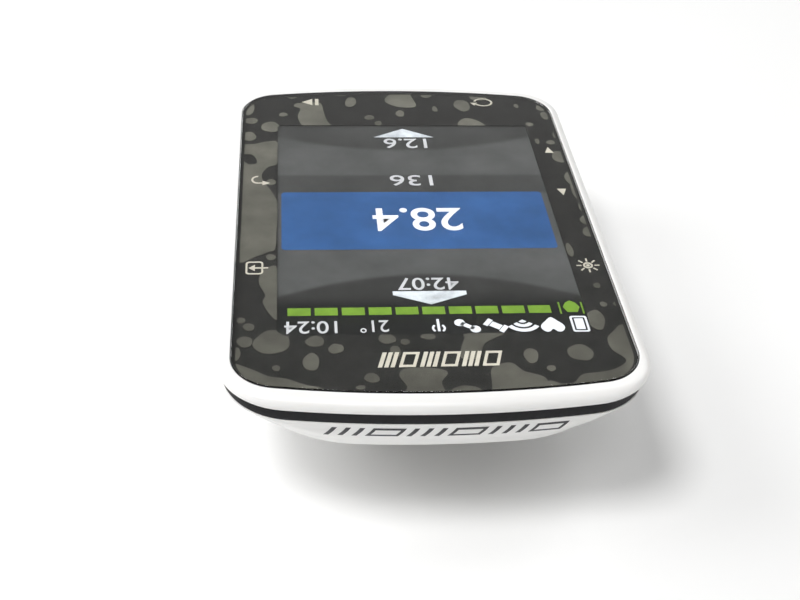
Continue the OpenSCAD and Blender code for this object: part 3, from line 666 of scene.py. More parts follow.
mask = prism("lens_print_base", [lens_line(-0.06), list(reversed(win()))], Z_LEDGE + 0.01, Z_LENS0 - 0.05, PRINT_DARK)
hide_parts("lens_mask"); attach(mask, "casing")
edge = loft("lens_edge_seal", [at_z(lens_line(0.012), Z_LEDGE + 0.02), at_z(lens_line(0.012), Z_LENS1 - 0.19), at_z(lens_line(0.062), Z_LENS1 - 0.17), at_z(lens_line(0.062), Z_LEDGE + 0.02)], EDGE, closed=True)
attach(edge, "casing")

# The print is patchy: lighter marks lie between it and the lens. Each is x, y, half width, half height, or a listed
# outline.
rng = random.Random(7)
LENS_IN = lens_line(-0.55)


def inside(poly, x, y):
    c = False
    for i in range(len(poly)):
        x0, y0 = poly[i - 1]
        x1, y1 = poly[i]
        if (y0 > y) != (y1 > y) and x < (x1 - x0) * (y - y0) / (y1 - y0) + x0:
            c = not c
    return c


def nearest(poly, x, y):
    best, out = 1e9, (x, y)
    for i in range(len(poly)):
        x0, y0 = poly[i - 1]
        x1, y1 = poly[i]
        dx, dy = x1 - x0, y1 - y0
        t = max(0.0, min(1.0, ((x - x0) * dx + (y - y0) * dy) / max(1e-12, dx * dx + dy * dy)))
        q = (x0 + t * dx, y0 + t * dy)
        d = (q[0] - x) ** 2 + (q[1] - y) ** 2
        if d < best:
            best, out = d, q
    return out


def clamp(x, y):
    if not inside(LENS_IN, x, y):
        x, y = nearest(LENS_IN, x, y)
    g = 0.02
    if abs(x - WIN_X) < WIN_W / 2 + g and abs(y - WIN_Y) < WIN_L / 2 + g:
        ex, ey = WIN_W / 2 + g - abs(x - WIN_X), WIN_L / 2 + g - abs(y - WIN_Y)
        if ex < ey:
            x = WIN_X + math.copysign(WIN_W / 2 + g, x - WIN_X)
        else:
            y = WIN_Y + math.copysign(WIN_L / 2 + g, y - WIN_Y)
    return x, y


def smooth_loop(pts, sub=5):
    out = []
    n = len(pts)
    for i in range(n):
        p0, p1, p2, p3 = pts[i - 1], pts[i], pts[(i + 1) % n], pts[(i + 2) % n]
        for k in range(sub):
            t = k / sub
            out.append(tuple(0.5 * (2 * b + (c - a) * t + (2 * a - 5 * b + 4 * c - d) * t * t + (3 * b - a - 3 * c + d) * t ** 3)
                             for a, b, c, d in zip(p0, p1, p2, p3)))
    return out


def blob(x, y, rx, ry, tilt=0.0, n=40):
    k = [rng.uniform(0, 6.28) for _ in range(3)]
    out = []
    for i in range(n):
        a = 2 * math.pi * i / n
        w = 1 + 0.05 * math.sin(2 * a + k[0]) + 0.04 * math.sin(3 * a + k[1]) + 0.02 * math.sin(5 * a + k[2])
        u, v = rx * w * math.cos(a), ry * w * math.sin(a)
        c, s = math.cos(tilt), math.sin(tilt)
        out.append((x + u * c - v * s, y + u * s + v * c))
    return out


MARKS = [
    (-15.9, 28, 1.4, 1.45), (-10.2, 28.4, 0.8, 1.3), (-12.1, 30.6, 0.5, 0.5), (7.8, 31.7, 0.8, 0.8), (5.7, 25.1, 0.95, 0.9), (3.7, 25.7, 0.5, 0.55),
    (4.9, 27.3, 0.6, 0.95), (11.5, 26.7, 0.85, 0.85), (13.8, 25.4, 1.0, 1.0), (14.3, 28.9, 0.95, 1.4), (18.1, 29.8, 0.45, 0.45), (18.6, 25.4, 2.0, 2.1),
    (21.6, 25.3, 0.9, 0.9), (21.2, 22.7, 0.65, 0.65), (22.1, 21.5, 0.5, 0.5), (22.5, 27.3, 0.5, 1.1), (1, 24.8, 0.9, 0.5), (-18.9, 22.2, 1.0, 1.9),
    (-22.1, 19.3, 0.5, 0.5), (-20.4, 19.3, 0.45, 0.45), (-20.4, 15.6, 0.45, 0.5), (18.8, 9.2, 0.6, 0.6), (18.9, -7.9, 0.7, 0.7), (19, -22.7, 1.4, 1.4),
    (22, -20, 1.0, 1.2), (21.8, -24.5, 0.9, 0.9), (22.2, -28, 0.8, 1.8), (-21.9, 4.2, 0.9, 1.2), (-21.9, 1.5, 0.7, 1.1), (-22.1, -1.7, 0.5, 1.2),
    (-22, -5.5, 0.6, 2.0), (-21.8, -8.8, 0.7, 1.5), (-21.5, -14.4, 1.1, 1.6), (-20.9, -18.4, 0.6, 0.6), (-19, -18.7, 0.3, 0.8), (-22, -20.5, 0.4, 1.0),
    (-18.7, -23.6, 0.55, 0.55), (-21.4, -26.2, 0.6, 1.1), (-21.2, -28.6, 0.7, 0.9), (-18.5, 8.2, 0.45, 1.4), (-9.4, -29.2, 1.15, 1.8), (-5.2, -28.1, 0.4, 0.8),
    (0.1, -26.7, 0.6, 1.0), (4.7, -25.5, 0.7, 0.7), (3.5, -23.8, 0.5, 0.7), (-4.3, -32.3, 0.8, 0.7), (8.6, -32.6, 0.9, 0.6), (17.2, -26.3, 0.6, 0.6),
    (-17.6, -29.1, 0.35, 0.6), (9.1, 33.2, 0.5, 0.35), (-20.2, -31.2, 0.6, 0.5), (15.9, -31.7, 0.8, 0.5),
]
SHAPES = [
    [(-23, 24), (-21.6, 23.2), (-20.6, 24.2), (-19.5, 25.6), (-19.6, 27.6), (-20.8, 29.4), (-19.4, 30.8), (-17.4, 31.4), (-15.4, 31.7), (-14.2, 33.0), (-12.8, 33.2), (-11.6, 32.6), (-11, 33.6), (-12, 35), (-16, 35), (-20, 33.6), (-22.6, 31), (-23.4, 27)],
    [(-11.4, 33.4), (-11, 32), (-9, 31), (-8, 29.7), (-7, 29.6), (-5.5, 30.4), (-5.2, 32.5), (-5.3, 34.6), (-8, 35), (-11, 34.6)],
    [(-3.9, 34.7), (-3.7, 33.7), (-2.2, 33.2), (-0.8, 33.7), (-0.6, 34.7)],
    [(0.3, 34.8), (0.3, 32.6), (-0.5, 31.2), (0, 30.5), (2.2, 30.1), (4.2, 30.3), (4.8, 31.4), (4.1, 33.2), (4.5, 34.8)],
    [(-7.6, 24.4), (-6.6, 25.2), (-5.2, 26.3), (-4.4, 28.4), (-3.2, 28.9), (-2.2, 28.4), (-2.6, 26.6), (-3.1, 25.2), (-3.4, 24.4)],
    [(12.8, 33.9), (13.4, 33.1), (15, 32.6), (17, 31.6), (19, 31.1), (20.5, 30.1), (22.9, 29), (23, 31), (20, 33.6), (16, 34.6)],
    [(17.9, 20.8), (18.8, 20.5), (19.7, 18.2), (19.4, 16.8), (20.1, 14.8), (20.1, 13.0), (19.5, 11.6), (17.9, 11.7)],
    [(18, -2.4), (18.1, 3), (18.3, 7.4), (19.1, 8.1), (20.5, 9), (23, 9.8), (23, 0), (23, -12.4), (21.8, -12.4), (20.9, -12.7), (20.9, -13.8), (21.6, -15.1), (23, -15.3), (22.9, -17.6), (21.2, -17.9), (19.4, -18.6), (18, -18.2), (17.9, -13), (19.3, -11.7), (20.1, -10), (19.9, -8.2), (19.2, -6.6), (18.5, -4.8)],
    [(-12, -23), (-10, -22.9), (-8.2, -23), (-8.4, -24.4), (-9.5, -25.4), (-10.8, -24.9), (-11.7, -24)],
    [(-2.5, -29.2), (-1.5, -28.5), (0.4, -28.8), (1.8, -29.9), (2.0, -31.2), (0.9, -32.8), (-0.5, -32.7), (-1.6, -33.1), (-2.1, -31.5)],
    [(10.4, -22.8), (12.4, -22.9), (14.1, -22.8), (14.8, -24), (15.1, -26), (14.7, -28), (15.6, -28.8), (15.2, -29.7), (13.4, -29.9), (11.7, -29.8), (11.3, -27), (10.9, -24.6)],
    [(6.6, -31.4), (6.4, -29.9), (7.1, -28.8), (7.9, -28.9), (8.0, -30.2), (7.5, -31.5)],
    [(-13.3, -31), (-11.2, -31), (-10.9, -32.6), (-11.6, -33.6), (-12.9, -33.4), (-13.2, -32.2)],
]
DX, DY = -0.36, -0.14      # where the print and the picture sit in the lens
marks = []
for i, m in enumerate([blob(*b) for b in MARKS] + [smooth_loop(s) for s in SHAPES]):
    loop = []
    for x, y in m:
        q = clamp(x + DX, y + DY)
        if not loop or (abs(q[0] - loop[-1][0]) + abs(q[1] - loop[-1][1])) > 0.02:
            loop.append(q)
    if abs(loop[0][0] - loop[-1][0]) + abs(loop[0][1] - loop[-1][1]) < 0.02:
        loop.pop()
    marks.append(prism("mark", [loop], Z_LENS0 - 0.055, Z_LENS0 - 0.03 + 0.0035 * (i % 5), PRINT_PATCH))
patches = join("lens_print_marks", marks)
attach(patches, "casing")

# ------------------------------------------------------------------ flat symbols and figures
Z_ICON = Z_LENS0 - 0.03


def flat(loops, z0, z1, mat, dx=0.0, dy=0.0, s=1.0):
    return prism("flat", [[(DX + dx + s * x, DY + dy + s * y) for x, y in lp] for lp in loops], z0, z1, mat)


def circle(r, x=0.0, y=0.0, n=28, ry=None):
    return [(x + r * math.cos(2 * math.pi * i / n), y + (ry or r) * math.sin(2 * math.pi * i / n)) for i in range(n)]


def hole(loop):
    return list(reversed(loop))


def arc_band(r0, r1, a0, a1, x=0.0, y=0.0, n=24, sx=1.0, sy=1.0):
    o = [(x + sx * r1 * math.cos(DEG(a0 + (a1 - a0) * i / n)), y + sy * r1 * math.sin(DEG(a0 + (a1 - a0) * i / n))) for i in range(n + 1)]
    o += [(x + sx * r0 * math.cos(DEG(a1 + (a0 - a1) * i / n)), y + sy * r0 * math.sin(DEG(a1 + (a0 - a1) * i / n))) for i in range(n + 1)]
    return o


def quad(cx, cy, w, h, a=0.0):
    c, s = math.cos(DEG(a)), math.sin(DEG(a))
    return [(cx + u * c - v * s, cy + u * s + v * c) for u, v in ((-w / 2, -h / 2), (w / 2, -h / 2), (w / 2, h / 2), (-w / 2, h / 2))]


def figures(body, x0, x1, y0, y1, z0, z1, mat, weight=0.02):
    """Numerals fitted to a box."""
    x0, x1, y0, y1 = x0 + DX, x1 + DX, y0 + DY, y1 + DY
    cu = bpy.data.curves.new("fig", "FONT")
    cu.body = body
    cu.extrude = 0.01
    cu.offset = weight
    cu.resolution_u = 5
    o = bpy.data.objects.new("fig", cu)
    scene.collection.objects.link(o)
    dg = bpy.context.evaluated_depsgraph_get()
    me = bpy.data.meshes.new_from_object(o.evaluated_get(dg))
    bpy.data.objects.remove(o)
    bpy.data.curves.remove(cu)
    bm = bmesh.new(); bm.from_mesh(me)
    bmesh.ops.remove_doubles(bm, verts=bm.verts, dist=1e-5)
    bmesh.ops.recalc_face_normals(bm, faces=bm.faces)
    lo = [min(v.co[i] for v in bm.verts) for i in range(3)]
    hi = [max(v.co[i] for v in bm.verts) for i in range(3)]
    for v in bm.verts:
        v.co.x = (x0 + (v.co.x - lo[0]) / (hi[0] - lo[0]) * (x1 - x0)) * MM
        v.co.y = (y0 + (v.co.y - lo[1]) / (hi[1] - lo[1]) * (y1 - y0)) * MM
        v.co.z = (z1 if v.co.z > 0 else z0) * MM
    bm.to_mesh(me); bm.free()
    me.materials.clear()
    me.materials.append(mat)
    ob = bpy.data.objects.new("fig", me)
    scene.collection.objects.link(ob)
    return ob


ic = []
zi = (Z_ICON - 0.02, Z_ICON + 0.015)
# backlight: a small sun
ic.append(flat([circle(0.62), hole(circle(0.36))], *zi, INK, -20.15, 11.5))
ic.append(flat([circle(0.22)], *zi, INK, -20.15, 11.5))
for a in range(0, 360, 45):
    ic.append(flat([quad(1.12 * math.cos(DEG(a)), 1.12 * math.sin(DEG(a)), 0.62, 0.2, a)], *zi, INK, -20.15, 11.5))
# up and down
ic.append(flat([[(-0.62, -0.7), (0.62, -0.7), (0.0, 0.85)]], *zi, INK, -20.15, -5.35))
ic.append(flat([[(-0.62, 0.7), (0.0, -0.85), (0.62, 0.7)]], *zi, INK, -20.2, -16.2))
# enter: a framed arrow
ic.append(flat([rrect(2.1, 2.6, 0.45, 5), hole(rrect(1.66, 2.16, 0.28, 5))], *zi, INK, 20.75, 11.4))
ic.append(flat([[(-1.5, -0.12), (0.1, -0.12), (0.1, -0.62), (0.85, 0.0), (0.1, 0.62), (0.1, 0.14), (-1.5, 0.14)]], *zi, INK, 20.6, 11.4))
# back: a hooked arrow
ic.append(flat([arc_band(0.58, 0.84, -95, 100, 0.15, 0.0, 20, 1.0, 1.15)], *zi, INK, 20.5, -8.5))
ic.append(flat([[(-1.5, 0.83), (-0.5, 0.28), (-0.5, 0.7), (0.1, 0.7), (0.1, 0.96), (-0.5, 0.96), (-0.5, 1.38)]], *zi, INK, 20.5, -8.5))
# lap: a closed loop with an arrow head
ic.append(flat([arc_band(0.95, 1.2, 30, 345, 0, 0, 30, 1.2, 1.0)], *zi, INK, -12.7, -30.2))
ic.append(flat([[(0.9, 0.15), (1.95, 0.15), (1.42, 0.95)]], *zi, INK, -12.7, -30.2))
# start and stop
ic.append(flat([quad(0, 0, 0.5, 1.9)], *zi, INK, 12.25, -30.1))
ic.append(flat([[(-0.55, -0.95), (1.0, 0.0), (-0.55, 0.95)]], *zi, INK, 13.45, -30.1))
# plain ornament above the picture: open and struck slanted bars


def slant(x0, x1, y0, y1, k):
    return [(x0 - k / 2, y0), (x1 - k / 2, y0), (x1 + k / 2, y1), (x0 + k / 2, y1)]


def ornament(cx, cy, w_, h, stroke, lean):
    """Loops of one ornament row, w_ wide and h high, from small slanted bars; no characters."""
    out = []
    pitch = w_ / 6
    for i in range(6):
        x = cx - w_ / 2 + pitch * (i + 0.5)
        a, b = x - pitch * 0.4, x + pitch * 0.4
        y0, y1 = cy - h / 2, cy + h / 2
        if i % 2 == 0:
            q = lean * (h - 2 * stroke) / h
            out.append([slant(a, b, y0, y1, lean), hole(slant(a + stroke, b - stroke, y0 + stroke, y1 - stroke, q))])
        else:
            out.append([slant(a, a + stroke * 1.3, y0, y1, lean)])
            out.append([slant(x - stroke * 0.65, x + stroke * 0.65, y0, y1, lean)])
            out.append([slant(b - stroke * 1.3, b, y0, y1, lean)])
    return out


for lp in ornament(0.0, 28.75, 13.9, 2.5, 0.36, 0.7):
    ic.append(flat(lp, *zi, INK))
icons = join("lens_symbols", ic)
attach(icons, "casing")

# ------------------------------------------------------------------ picture
Z_POL = mm("display_polarizer")[1].z


def lcd(name, base, rough=0.35, var=0.1, scale=0.25, stripes=0.0, k=0.3):
    """Reflective liquid crystal: colour drift with a faint line raster."""
    m, nt, p = new_mat(name)
    v = coords(nt)
    slow = noise(nt, v, scale, 3.0, 0.6)
    col = ramp(nt, slow, [(0.28, tint(base, 1 - var)), (0.72, tint(base, 1 + var))])
    if stripes:
        wv = nt.nodes.new("ShaderNodeTexWave")
        wv.inputs["Scale"].default_value = 2.2
        wv.inputs["Distortion"].default_value = 0.0
        wv.bands_direction = "Y"
        nt.links.new(v, wv.inputs["Vector"])
        mx = nt.nodes.new("ShaderNodeMix"); mx.data_type = "RGBA"; mx.blend_type = "MULTIPLY"
        mx.inputs[0].default_value = stripes
        nt.links.new(col, mx.inputs[6])
        nt.links.new(wv.outputs["Color"], mx.inputs[7])
        col = mx.outputs[2]
    nt.links.new(col, p.inputs["Base Color"])
    p.inputs["Roughness"].default_value = rough
    p.inputs["Specular IOR Level"].default_value = 0.08
    nt.links.new(bump(nt, noise(nt, v, 6.0, 2.0), 0.2, 0.001 * MM), p.inputs["Normal"])
    return m


def math_node(nt, op, a, b=None, c=None):
    n = nt.nodes.new("ShaderNodeMath")
    n.operation = op
    for i, x in enumerate((a, b, c)):
        if x is None:
            continue
        if isinstance(x, (int, float)):
            n.inputs[i].default_value = x
        else:
            nt.links.new(x, n.inputs[i])
    return n.outputs[0]


def panel_material():
    """Picture background: two dark fields with soft curved edges between lighter bands."""
    m, nt, p = new_mat("picture_background")
    v = coords(nt)
    sp = nt.nodes.new("ShaderNodeSeparateXYZ")
    nt.links.new(v, sp.inputs[0])
    x, y = sp.outputs[0], sp.outputs[1]
    x2 = math_node(nt, "MULTIPLY", x, x)
    up = math_node(nt, "SUBTRACT", y, math_node(nt, "MULTIPLY_ADD", x2, 0.0135, 12.7))
    dn = math_node(nt, "SUBTRACT", math_node(nt, "MULTIPLY_ADD", x2, -0.0115, -16.6), y)

    def step(val, a, b):
        r = nt.nodes.new("ShaderNodeMapRange")
        r.interpolation_type = "SMOOTHSTEP"
        r.inputs["From Min"].default_value = a
        r.inputs["From Max"].default_value = b
        nt.links.new(val, r.inputs["Value"])
        return r.outputs["Result"]

    dark_up = step(up, -0.5, 0.5)
    dark_dn = step(dn, -0.6, 0.6)
    mid = math_node(nt, "MULTIPLY", step(y, -10.4, -9.6), step(math_node(nt, "MULTIPLY", y, -1.0), 5.0, 6.0))
    dark = math_node(nt, "MAXIMUM", math_node(nt, "MAXIMUM", dark_up, math_node(nt, "MULTIPLY", dark_dn, 0.7)), math_node(nt, "MULTIPLY", mid, 0.65))
    top = step(y, 16.0, 19.0)
    c1 = nt.nodes.new("ShaderNodeMix"); c1.data_type = "RGBA"
    nt.links.new(dark, c1.inputs[0])
    nt.links.new(ramp(nt, noise(nt, v, 0.16, 4.0, 0.6), [(0.3, (0.040, 0.042, 0.041)), (0.7, (0.062, 0.064, 0.063))]), c1.inputs[6])
    nt.links.new(ramp(nt, noise(nt, v, 0.2, 3.0), [(0.3, (0.017, 0.0175, 0.0165)), (0.7, (0.027, 0.0275, 0.0265))]), c1.inputs[7])
    c2 = nt.nodes.new("ShaderNodeMix"); c2.data_type = "RGBA"
    nt.links.new(top, c2.inputs[0])
    nt.links.new(c1.outputs[2], c2.inputs[6])
    c2.inputs[7].default_value = (0.009, 0.0095, 0.009, 1)
    nt.links.new(c2.outputs[2], p.inputs["Base Color"])
    p.inputs["Roughness"].default_value = 0.3
    p.inputs["Specular IOR Level"].default_value = 0.08
    nt.links.new(bump(nt, noise(nt, v, 6.0, 2.0), 0.2, 0.001 * MM), p.inputs["Normal"])
    return m


PIC = panel_material()
BLUE = lcd("picture_blue", (0.019, 0.058, 0.15), var=0.2, scale=0.16)
GREEN = lcd("picture_green", (0.1, 0.185, 0.02), var=0.15, scale=0.5)
TEXT = lcd("picture_white", (0.5, 0.52, 0.55), var=0.05, scale=0.5)
TEXT2 = lcd("picture_grey_white", (0.37, 0.38, 0.39), var=0.06, scale=0.5)
ARROW = lcd("picture_arrow", (0.37, 0.4, 0.42), var=0.3, scale=0.45)
panel = prism("picture_panel", [rrect(37.4, 49.0, 0.3)], Z_POL - 0.15, Z_POL, PIC)
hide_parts("display_polarizer"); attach(panel, "casing")
zb = (Z_POL - 0.005, Z_POL + 0.014)
zt = (Z_POL + 0.008, Z_POL + 0.026)
blue = prism("picture_band", [rrect(34.7, 13.1, 0.5, 5, 0.15 + DX, 0.95 + DY)], *zb, BLUE)
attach(blue, "casing")
g = [flat([quad(-12.65 + 3.15 * i * 0.993, 19.85, 2.66, 1.4)], *zb, GREEN) for i in range(10)]
g.append(flat([[(-17.5, 19.5), (-17.1, 20.5), (-15.9, 20.5), (-15.5, 19.5), (-15.9, 18.7), (-16.5, 18.3), (-17.1, 18.7)]], *zb, GREEN))
g += [flat([quad(x, 19.7, 0.2, 2.2)], *zb, GREEN) for x in (-17.8, -15.1)]
gb = join("picture_progress_bar", g)
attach(gb, "casing")

t = [figures("28.4", -5.8, 5.8, -1.75, 3.5, *zt, TEXT, 0.012)]
t.append(figures("42:07", -3.7, 3.7, 13.5, 15.9, *zt, TEXT2, 0.006))
t.append(figures("136", -2.9, 2.9, -9.8, -7.2, *zt, TEXT2, 0.004))
t.append(figures("12.6", -3.05, 3.05, -19.6, -17.0, *zt, TEXT2, 0.006))
t.append(figures("21°", 5.3, 8.6, 21.6, 23.8, *zt, TEXT2, 0.004))
t.append(figures("10:24", 11.2, 17.2, 21.6, 23.8, *zt, TEXT2, 0.004))
t.append(flat([[(-4.4, 16.15), (4.4, 16.15), (4.4, 16.85), (0, 18.7), (-4.4, 16.85)]], *zt, ARROW))
t.append(flat([[(-4.2, -20.0), (0.1, -22.4), (4.4, -20.0)]], *zt, ARROW))
# status row: battery, heart, signal, receiver, link, mast
t.append(flat([rrect(2.0, 2.9, 0.3, 4), hole(rrect(1.5, 2.4, 0.15, 4))], *zt, TEXT, -16.9, 22.7))
t.append(flat([quad(0, 0, 1.05, 1.95)], *zt, TEXT, -16.9, 22.7))
heart = [(0, -1.35), (0.75, -0.65), (1.3, 0.05), (1.35, 0.7), (0.95, 1.2), (0.45, 1.2), (0, 0.75), (-0.45, 1.2), (-0.95, 1.2), (-1.35, 0.7), (-1.3, 0.05), (-0.75, -0.65)]
t.append(flat([smooth_loop(heart, 4)], *zt, TEXT, -13.65, 22.8))
for r0, r1 in ((0.0, 0.55), (0.85, 1.35), (1.65, 2.2)):
    t.append(flat([arc_band(max(r0, 0.01), r1, 35, 145, 0, 0, 14)], *zt, TEXT, -10.25, 21.8))
t.append(flat([quad(0, 0, 1.3, 0.9, -35)], *zt, TEXT, -7.05, 22.8))
t += [flat([quad(sx * 1.05 * math.cos(DEG(-35)), sx * 1.05 * math.sin(DEG(-35)), 0.6, 1.3, -35)], *zt, TEXT, -7.05, 22.8) for sx in (-1, 1)]
t.append(flat([quad(0, 0, 1.7, 0.6, -35)], *zt, TEXT, -3.75, 22.8))
t += [flat([circle(0.62, sx * 0.85, -sx * 0.6, 18)], *zt, TEXT, -3.75, 22.8) for sx in (-1, 1)]
t.append(flat([quad(0, -0.2, 0.3, 2.2)], *zt, TEXT, -0.4, 22.8))
t += [flat([arc_band(0.55, 0.8, a, a + 100, 0, 0.35, 10)], *zt, TEXT, -0.4, 22.8) for a in (-50, 130)]
txt = join("picture_figures", t)
shade(txt, 30)
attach(txt, "casing")

# ------------------------------------------------------------------ ornament on the end face of the shell
SHMARK = plastic("shell_print", (0.035, 0.035, 0.04), 0.5, var=0.2, grain=5.0, grain_mm=0.003, blotch=0.8)


def end_face(x, z, out=0.0):
    """Point on the shell's upper end face at x and height z, pushed out by a little."""
    rows_ = sorted(skin_rows)
    s_, t, r = rows_[0][1], rows_[0][2], rows_[0][4]
    for a, b in zip(rows_, rows_[1:]):
        if a[0] <= z <= b[0]:
            f = (z - a[0]) / max(1e-9, b[0] - a[0])
            s_, t, r = (a[k] + (b[k] - a[k]) * f for k in (1, 2, 4))
    c = HW - s_ - r
    e = END_R - r
    if abs(x) > c * END_R / e:
        y = TOP - t - END_R + math.sqrt(e * e - c * c) + math.sqrt(max(0.0, r * r - (abs(x) - c) ** 2))
    else:
        y = TOP - t - END_R + math.sqrt(END_R ** 2 - x * x)
    return (x, y + out, z)


def stroke_on_face(x0, x1, z0, z1, k0, k1):
    """Thin closed strip lying on the end face; k0 and k1 shift its lower and upper edge along x."""
    nx, nz = max(1, math.ceil((x1 - x0) / 0.3)), max(1, math.ceil((z1 - z0) / 0.15))
    verts, faces = [], []
    for out in (-0.06, 0.014):
        for j in range(nz + 1):
            k = k0 + (k1 - k0) * j / nz
            verts += [end_face(x0 + k + (x1 - x0) * i / nx, z0 + (z1 - z0) * j / nz, out) for i in range(nx + 1)]
    w_ = nx + 1
    n = w_ * (nz + 1)
    for j in range(nz):
        for i in range(nx):
            a = j * w_ + i
            faces.append((a, a + 1, a + w_ + 1, a + w_))
            faces.append((n + a, n + a + w_, n + a + w_ + 1, n + a + 1))
    for i in range(nx):
        for a, b in ((i, i + 1), (nz * w_ + i + 1, nz * w_ + i)):
            faces.append((b, a, n + a, n + b))
    for j in range(nz):
        for a, b in (((j + 1) * w_, j * w_), (j * w_ + nx, (j + 1) * w_ + nx)):
            faces.append((b, a, n + a, n + b))
    return to_obj("sm", verts, faces, SHMARK, 30)


def end_ornament(cx, cz, w_, h, stroke, lean):
    out = []
    pitch = w_ / 6
    z0, z1 = cz - h / 2, cz + h / 2
    for i in range(6):
        x = cx - w_ / 2 + pitch * (i + 0.5)
        a, b = x - pitch * 0.4, x + pitch * 0.4
        k = lambda z: lean * (z - cz) / h
        if i % 2 == 0:
            out.append(stroke_on_face(a, a + stroke, z0, z1, k(z0), k(z1)))
            out.append(stroke_on_face(b - stroke, b, z0, z1, k(z0), k(z1)))
            t = stroke * 0.75
            out.append(stroke_on_face(a + stroke, b - stroke, z0, z0 + t, k(z0), k(z0 + t)))
            out.append(stroke_on_face(a + stroke, b - stroke, z1 - t, z1, k(z1 - t), k(z1)))
        else:
            for c in (a, x - stroke * 0.65, b - stroke * 1.3):
                out.append(stroke_on_face(c, c + stroke * 1.3, z0, z1, k(z0), k(z1)))
    return out


sm = end_ornament(-0.6, 16.45, 26.8, 1.5, 0.42, -0.9)
shell_marks = join("shell_symbols", sm)
shade(shell_marks, 30)
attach(shell_marks, "casing")


# ------------------------------------------------------------------ quarter-turn mount
def revolve(name, prof, cx, cy, mat, n=128, a0=0.0, a1=360.0, angle=32):
    """Turns a closed profile of (radius, z) round Z."""
    full = abs(a1 - a0) >= 360
    m = n if full else n + 1
    verts, faces = [], []
    k = len(prof)
    for i in range(m):
        a = DEG(a0 + (a1 - a0) * i / n)
        verts += [(cx + r * math.cos(a), cy + r * math.sin(a), z) for r, z in prof]
    for i in range(n):
        p0, p1 = i * k, ((i + 1) % m) * k
        for j in range(k):
            q = (j + 1) % k
            faces.append((p0 + j, p1 + j, p1 + q, p0 + q))
    if not full:
        faces.append(tuple(range(k)))
        faces.append(tuple(n * k + j for j in reversed(range(k))))
    return to_obj(name, verts, faces, mat, angle)


def fillet(pts, radii, n=5):
    out = []
    for i, (p, r) in enumerate(zip(pts, radii)):
        if r <= 0:
            out.append(p)
            continue
        a, b = Vector(pts[i - 1]), Vector(pts[(i + 1) % len(pts)])
        c = Vector(p)
        u, w_ = (a - c).normalized(), (b - c).normalized()
        ang = u.angle(w_)
        d = min(r / math.tan(ang / 2), 0.48 * (a - c).length, 0.48 * (b - c).length)
        r_ = d * math.tan(ang / 2)
        o = c + (u + w_).normalized() * (r_ / math.sin(ang / 2))
        s0 = (c + u * d) - o
        s1 = (c + w_ * d) - o
        th0, th1 = math.atan2(s0.y, s0.x), math.atan2(s1.y, s1.x)
        dt = (th1 - th0 + math.pi) % (2 * math.pi) - math.pi
        out += [(o.x + r_ * math.cos(th0 + dt * k / n), o.y + r_ * math.sin(th0 + dt * k / n)) for k in range(n + 1)]
    return out


TAB_R, NECK_R = pk_hi.x, 12.6
core = revolve("mount_puck_body", fillet([(0.02, 0.9), (9.9, 0.9), (10.7, 0), (12.6, 0), (12.6, 5.4), (13.2, 5.4), (13.2, 6.35), (0.02, 6.35)],
                                         [0, 0.25, 0.25, 0.35, 0, 0.2, 0, 0]), 0, MOUNT_Y, PUCK)
tabs = []
for a0 in (0, 180):
    tb = revolve("tab", fillet([(11.1, 0), (TAB_R, 0), (TAB_R, 2.2), (11.1, 2.2)], [0, 0.5, 0.25, 0], 5), 0, MOUNT_Y, PUCK, 48, a0 - 27, a0 + 27)
    tabs.append(tb)
boolean(core, tabs, "UNION")
cuts = []
for x, y in PUCK_SCREWS:
    cuts += [cyl("s", x, y, 1.75, -1, 2.2, 48), cyl("s", x, y, 0.85, 1, 9, 32)]
for s in (-1, 1):
    cuts.append(cyl("d", s * (TAB_R + 0.35), MOUNT_Y, 0.9, -1, 4, 40))
for q in range(4):
    c, s = math.cos(DEG(90 * q)), math.sin(DEG(90 * q))
    loop = [(1.1 + u, 1.1 + v_) for u, v_ in [(0, 0), (4.4, 0), (4.3, 0.9), (3.9, 1.75), (3.3, 2.6), (2.6, 3.3), (1.75, 3.9), (0.9, 4.3), (0, 4.4)]]
    cuts.append(prism("r", [[(x * c - y * s, MOUNT_Y + x * s + y * c) for x, y in loop]], -1, 2.4))
boolean(core, cuts, "DIFFERENCE")
tidy(core, 34)
soften(core, 0.09, 50, 2, 42)
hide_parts("mount_puck"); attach(core, "casing")


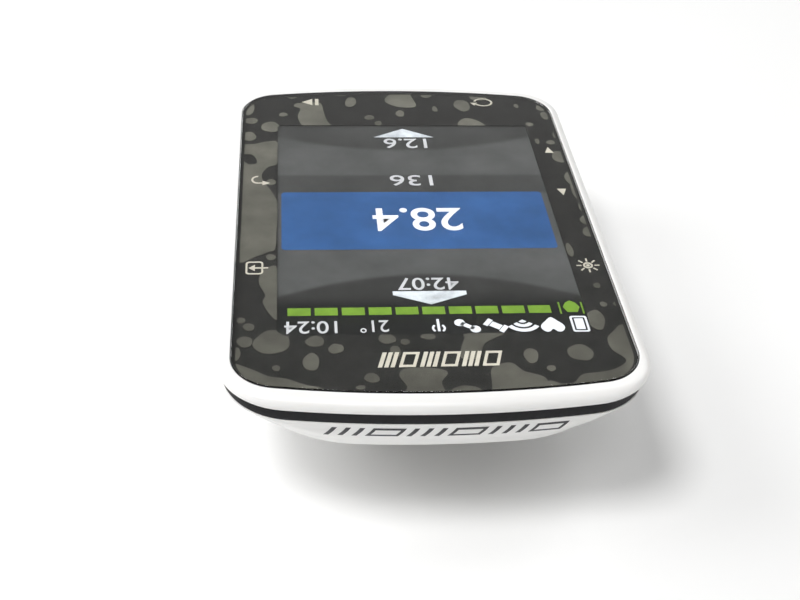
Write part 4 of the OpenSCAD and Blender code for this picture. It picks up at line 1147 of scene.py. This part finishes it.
# ------------------------------------------------------------------ floor, light, world
fm, nt, p = new_mat("floor_paint")
v = coords(nt, 1.0)
nt.links.new(ramp(nt, noise(nt, v, 4.0, 4.0), [(0.3, (0.86, 0.86, 0.855)), (0.7, (0.9, 0.9, 0.895))]), p.inputs["Base Color"])
p.inputs["Roughness"].default_value = 0.7
floor = to_obj("floor", [(-3, -3, 0), (3, -3, 0), (3, 3, 0), (-3, 3, 0)], [(0, 1, 2, 3)], fm, scale=1.0)

w = bpy.data.worlds.new("world")
scene.world = w
w.use_nodes = True
wt = w.node_tree
tc = wt.nodes.new("ShaderNodeTexCoord")
sp = wt.nodes.new("ShaderNodeSeparateXYZ")
wt.links.new(tc.outputs["Generated"], sp.inputs[0])
wt.links.new(ramp(wt, sp.outputs[2], [(0.0, (0.36, 0.36, 0.36)), (0.44, (0.18, 0.18, 0.18)), (0.7, (0.05, 0.05, 0.05)), (1.0, (0.06, 0.06, 0.06))]),
             wt.nodes["Background"].inputs["Color"])
wt.nodes["Background"].inputs["Strength"].default_value = 1.0


def area(name, loc, target, size, power, colour=(1, 1, 1)):
    d = bpy.data.lights.new(name, "AREA")
    d.shape = "DISK"
    d.size = size
    d.energy = power
    d.color = colour
    o = bpy.data.objects.new(name, d)
    scene.collection.objects.link(o)
    o.location = loc
    o.rotation_euler = (Vector(target) - Vector(loc)).to_track_quat("-Z", "Y").to_euler()
    return o


def ring_light(name, elevation, azimuth, power, size=0.45):
    d = Vector((math.cos(DEG(elevation)) * math.sin(DEG(azimuth)), math.cos(DEG(elevation)) * math.cos(DEG(azimuth)), math.sin(DEG(elevation))))
    return area(name, tuple(d * 0.9), (0, 0, 0), size, power)


for name_, el_, az_, pw_ in (("key", 64, 60, 4.8), ("side", 40, 95, 2.5), ("back_right", 38, 238, 1.2), ("low_back", 16, 148, 3.1),
                             ("front", 64, 0, 1.2), ("top_right", 62, 240, 0.9)):
    ring_light(name_, el_, az_, pw_, 0.3 if el_ > 60 else 0.45)
scene.view_settings.view_transform = "Standard"
scene.view_settings.look = "None"
